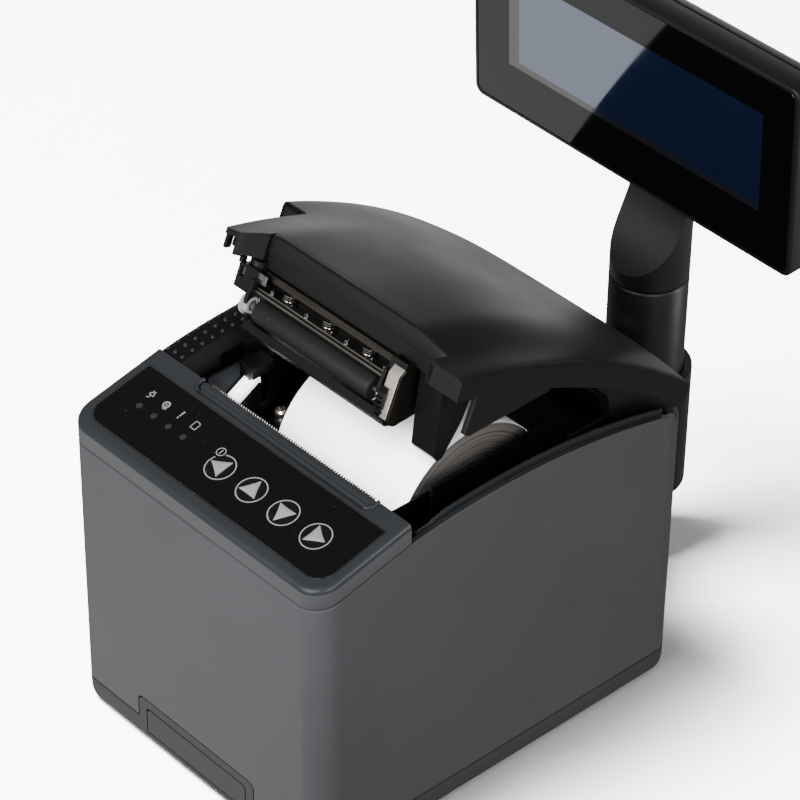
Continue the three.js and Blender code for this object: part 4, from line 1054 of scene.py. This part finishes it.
def post_tube():
    profile = [(POST_RADIUS - 0.6, POST_FOOT + 4.3), (POST_RADIUS, POST_FOOT + 4.9),
               (POST_RADIUS, SWIVEL_Z - 1.3), (POST_RADIUS - 0.25, SWIVEL_Z - 0.8),
               (POST_RADIUS - 0.7, SWIVEL_Z - 0.3)]
    return turned(profile, "z", (POST.x, POST.y), 96)


piece("post_column", post_tube(), "black_plastic", ROOT, stands_for="post_tube")
SCOOP = (-56.5, 209.5, 62)  # the neck's hollow front: centre (y, z) and radius
BLADE_FRONT = SCOOP[0] + SCOOP[2]


def swivel_head():
    profile = [(POST_RADIUS - 0.7, SWIVEL_Z + 0.3), (POST_RADIUS - 0.25, SWIVEL_Z + 0.8),
               (POST_RADIUS, SWIVEL_Z + 1.3), (POST_RADIUS, 262), (POST_RADIUS - 1.2, 264.8),
               (POST_RADIUS - 4, 267)]
    head = turned(profile, sides=96)
    scoop = rod("x", -30, 30, SCOOP[2], SCOOP[0], SCOOP[1], 160)
    front = block((-30, 30), (-30, BLADE_FRONT), (SCOOP[1], 280))
    sides = [block(pair(s, 9.4, 30), (-30, 30), (240, 280)) for s in (-1, 1)]
    bore = rod("x", -20, 20, 2.6, *TILT_PIN[1:])
    return cut(head, scoop, front, *sides, bore)


piece("swivel_neck", swivel_head(), "black_plastic", "display_post_head", HEAD, "swivel_head", edge=0.9)


def screen_loft(*rows):
    """Skin through rings round the screen, each given by its inset, corner radius and depth."""
    rings = []
    for inset, radius, depth in rows:
        half_w, half_h = SCREEN["width"] / 2 - inset, SCREEN["height"] / 2 - inset
        outline = rounded(-half_w, half_w, -half_h, half_h, radius, 10)
        rings.append([(x, SCREEN["face"] + depth, z) for x, z in outline])
    return loft(rings)


def display_front():
    seam = SCREEN["seam"]
    outer = screen_loft((1.1, 4.2, 0), (0.5, 4.7, 0.12), (0.12, 4.95, 0.5), (0, 5, 1.1),
                        (0, 5, seam - 0.6), (0.3, 4.8, seam - 0.15))
    return cut(outer, screen_loft((2.1, 4, -1), (2.1, 4, 1.6)), screen_loft((5, 3, -2), (5, 3, 30)))


def display_rear():
    seam, depth = SCREEN["seam"], SCREEN["depth"]
    outer = screen_loft((0.3, 4.8, seam + 0.15), (0, 5, seam + 0.6), (0.6, 5, seam + 4),
                        (2.4, 5.6, depth - 2.6), (4, 6, depth - 1.2), (5.4, 6, depth - 0.4), (7, 6, depth))
    hollow = screen_loft((3, 3, seam - 2), (8, 3, depth - 2.5))
    root = SCREEN["face"] + depth - 1.5
    profile = [(root, -13), (2, -7)] + arc((1.2, 0), 5.6, -90, 90, 12) + [(2, 7), (root, 13)]
    ears = [cut(prism(profile, "x", *pair(s, 10, 14.5)), rod("x", -20, 20, 2.6, 0, 0)) for s in (-1, 1)]
    return joined(cut(outer, hollow), *ears)


piece("display_frame", display_front(), "black_plastic", "display", DISPLAY, "display_front_frame")
piece("display_back", display_rear(), "black_plastic", "display", DISPLAY, "display_rear_cover")


def lcd_edges(clearance=0.0):
    """The lit screen's left, right, lower and upper edges."""
    half_w, half_h = LCD["width"] / 2 - clearance, LCD["height"] / 2 - clearance
    return LCD["x"] - half_w, LCD["x"] + half_w, LCD["z"] - half_h, LCD["z"] + half_h


def display_pane():
    left, right, low, top = lcd_edges()
    window = block((left, right), (-40, -20), (low, top))
    return cut(screen_loft((2.4, 3.8, 1.4), (2.4, 3.8, 0.3), (2.6, 3.7, 0.1)), window)


def pane(x0, x1, z0, z1, back):
    return block((x0, x1), (SCREEN["face"] + back, SCREEN["face"] + 1.3), (z0, z1))


cell_left, cell_right, cell_low, cell_top = lcd_edges(0.02)
lit_left, lit_low = cell_left + 6.6, cell_low + 3.4  # a paler border runs left of and below the lit part
piece("display_window", display_pane(), "display_gloss", "display", DISPLAY, "display_glass",
      slot="gloss_panel")
piece("display_cell", pane(lit_left, cell_right, lit_low, cell_top, 0.14), "lcd", "display", DISPLAY,
      "lcd_module")
border = joined(pane(cell_left, lit_left, cell_low, cell_top, 0.16),
                pane(lit_left, cell_right, cell_low, lit_low, 0.16))
piece("display_cell_border", border, "cell_border", "display", DISPLAY, slot="lcd")

# --- floor, light and camera ---
floor_mesh = bpy.data.meshes.new("floor")
floor_mesh.from_pydata([(-8, -8, 0), (8, -8, 0), (8, 8, 0), (-8, 8, 0)], [], [(0, 1, 2, 3)])
floor = in_scene("floor", floor_mesh)
moulded("floor", (0.93, 0.93, 0.93), 0.7, grain=0.0, drift=0.01)
floor.data.materials.append(LOOKS["floor"])
floor.visible_diffuse = False
floor.visible_glossy = False
floor.visible_shadow = False

world = bpy.data.worlds.new("studio")
world.use_nodes = True
set_inputs(world.node_tree.nodes["Background"], {"Color": (1, 1, 1, 1), "Strength": 0.22})
bpy.context.scene.world = world


def shown(*names):
    return [bpy.data.objects[name] for name in names]


pale_pieces = shown("paper_web", "paper_turn_edge", "guide_rail_bar") + [frame["nodes"]["well_screw"]]
panel_pieces = shown("front_panel_shell", "front_panel_skirt", "exit_horns", "tear_blade_cover")
post_pieces = shown("post_column", "swivel_neck", "display_frame", "display_back")


def area_light(name, toward, distance, size, radiance, aim=(0, 0, 0.12), lit=()):
    """Rectangular lamp in the given direction from the object. lit: the only pieces it shines on."""
    lamp = bpy.data.lights.new(name, "AREA")
    lamp.shape = "RECTANGLE"
    lamp.size, lamp.size_y = size
    lamp.energy = radiance * math.pi * size[0] * size[1]
    holder = in_scene(name, lamp)
    place = Vector(aim) + Vector(toward).normalized() * distance
    holder.location = place
    holder.rotation_mode = "QUATERNION"
    holder.rotation_quaternion = (Vector(aim) - place).to_track_quat("-Z", "Y")
    holder.visible_camera = False
    if lit:
        receivers = bpy.data.collections.new(name)
        for thing in lit:
            receivers.objects.link(thing)
        holder.light_linking.receiver_collection = receivers


area_light("front softbox", (0.05, -1, 0.5), 1.3, (0.9, 0.7), 5.35)
area_light("right softbox", (1, -0.4, 0.55), 1.5, (0.7, 0.7), 4.4)
area_light("back softbox", (-0.68, 0.7, 0), 1.7, (1.2, 0.8), 1.9)
area_light("rim strip", (0.75, 0.7, 0.1), 1.5, (0.3, 1.0), 12, lit=post_pieces)
area_light("neck card", (-0.59, -0.76, 0.27), 1.0, (0.5, 0.4), 1.5,
           aim=HEAD.translation + Vector((0, 0, 0.18)), lit=shown("swivel_neck"))
area_light("edge strip", (0.7, 0.25, 0.67), 1.2, (0.25, 0.25), 20, lit=panel_pieces)
area_light("low card", (-0.59, -0.54, -0.6), 0.9, (0.6, 0.6), 0.9)
area_light("floor lamp", (-0.25, -0.3, 1), 2.2, (0.9, 0.9), 230, lit=[floor])
area_light("paper lamp", (0.45, -0.6, 0.75), 1.2, (0.4, 0.4), 170, lit=pale_pieces)

CAMERA_AZIMUTH = 47.545  # degrees
CAMERA_ELEVATION = 36.681
CAMERA_ROLL = 0.764
CAMERA_DISTANCE = 1603.87
CAMERA_OFFSET = (9.73, 124.365)  # sideways and up, in the picture plane
CAMERA_LENS = 160.13


def make_camera():
    data = bpy.data.cameras.new("camera")
    data.lens = CAMERA_LENS
    data.sensor_width = 36
    data.dof.use_dof = False
    camera = in_scene("camera", data)
    level = Vector((cosine(CAMERA_AZIMUTH), sine(CAMERA_AZIMUTH), 0))
    reach = cosine(CAMERA_ELEVATION)
    back = Vector((level.y * reach, -level.x * reach, sine(CAMERA_ELEVATION)))
    rise = back.cross(level)
    right = level * cosine(CAMERA_ROLL) + rise * sine(CAMERA_ROLL)
    up = back.cross(right)
    eye = right * CAMERA_OFFSET[0] + up * CAMERA_OFFSET[1] + back * CAMERA_DISTANCE
    turn = Matrix((right, up, back)).transposed().to_4x4()
    camera.matrix_world = Matrix.Translation(ORIGIN + eye * MM) @ turn
    bpy.context.scene.camera = camera


make_camera()
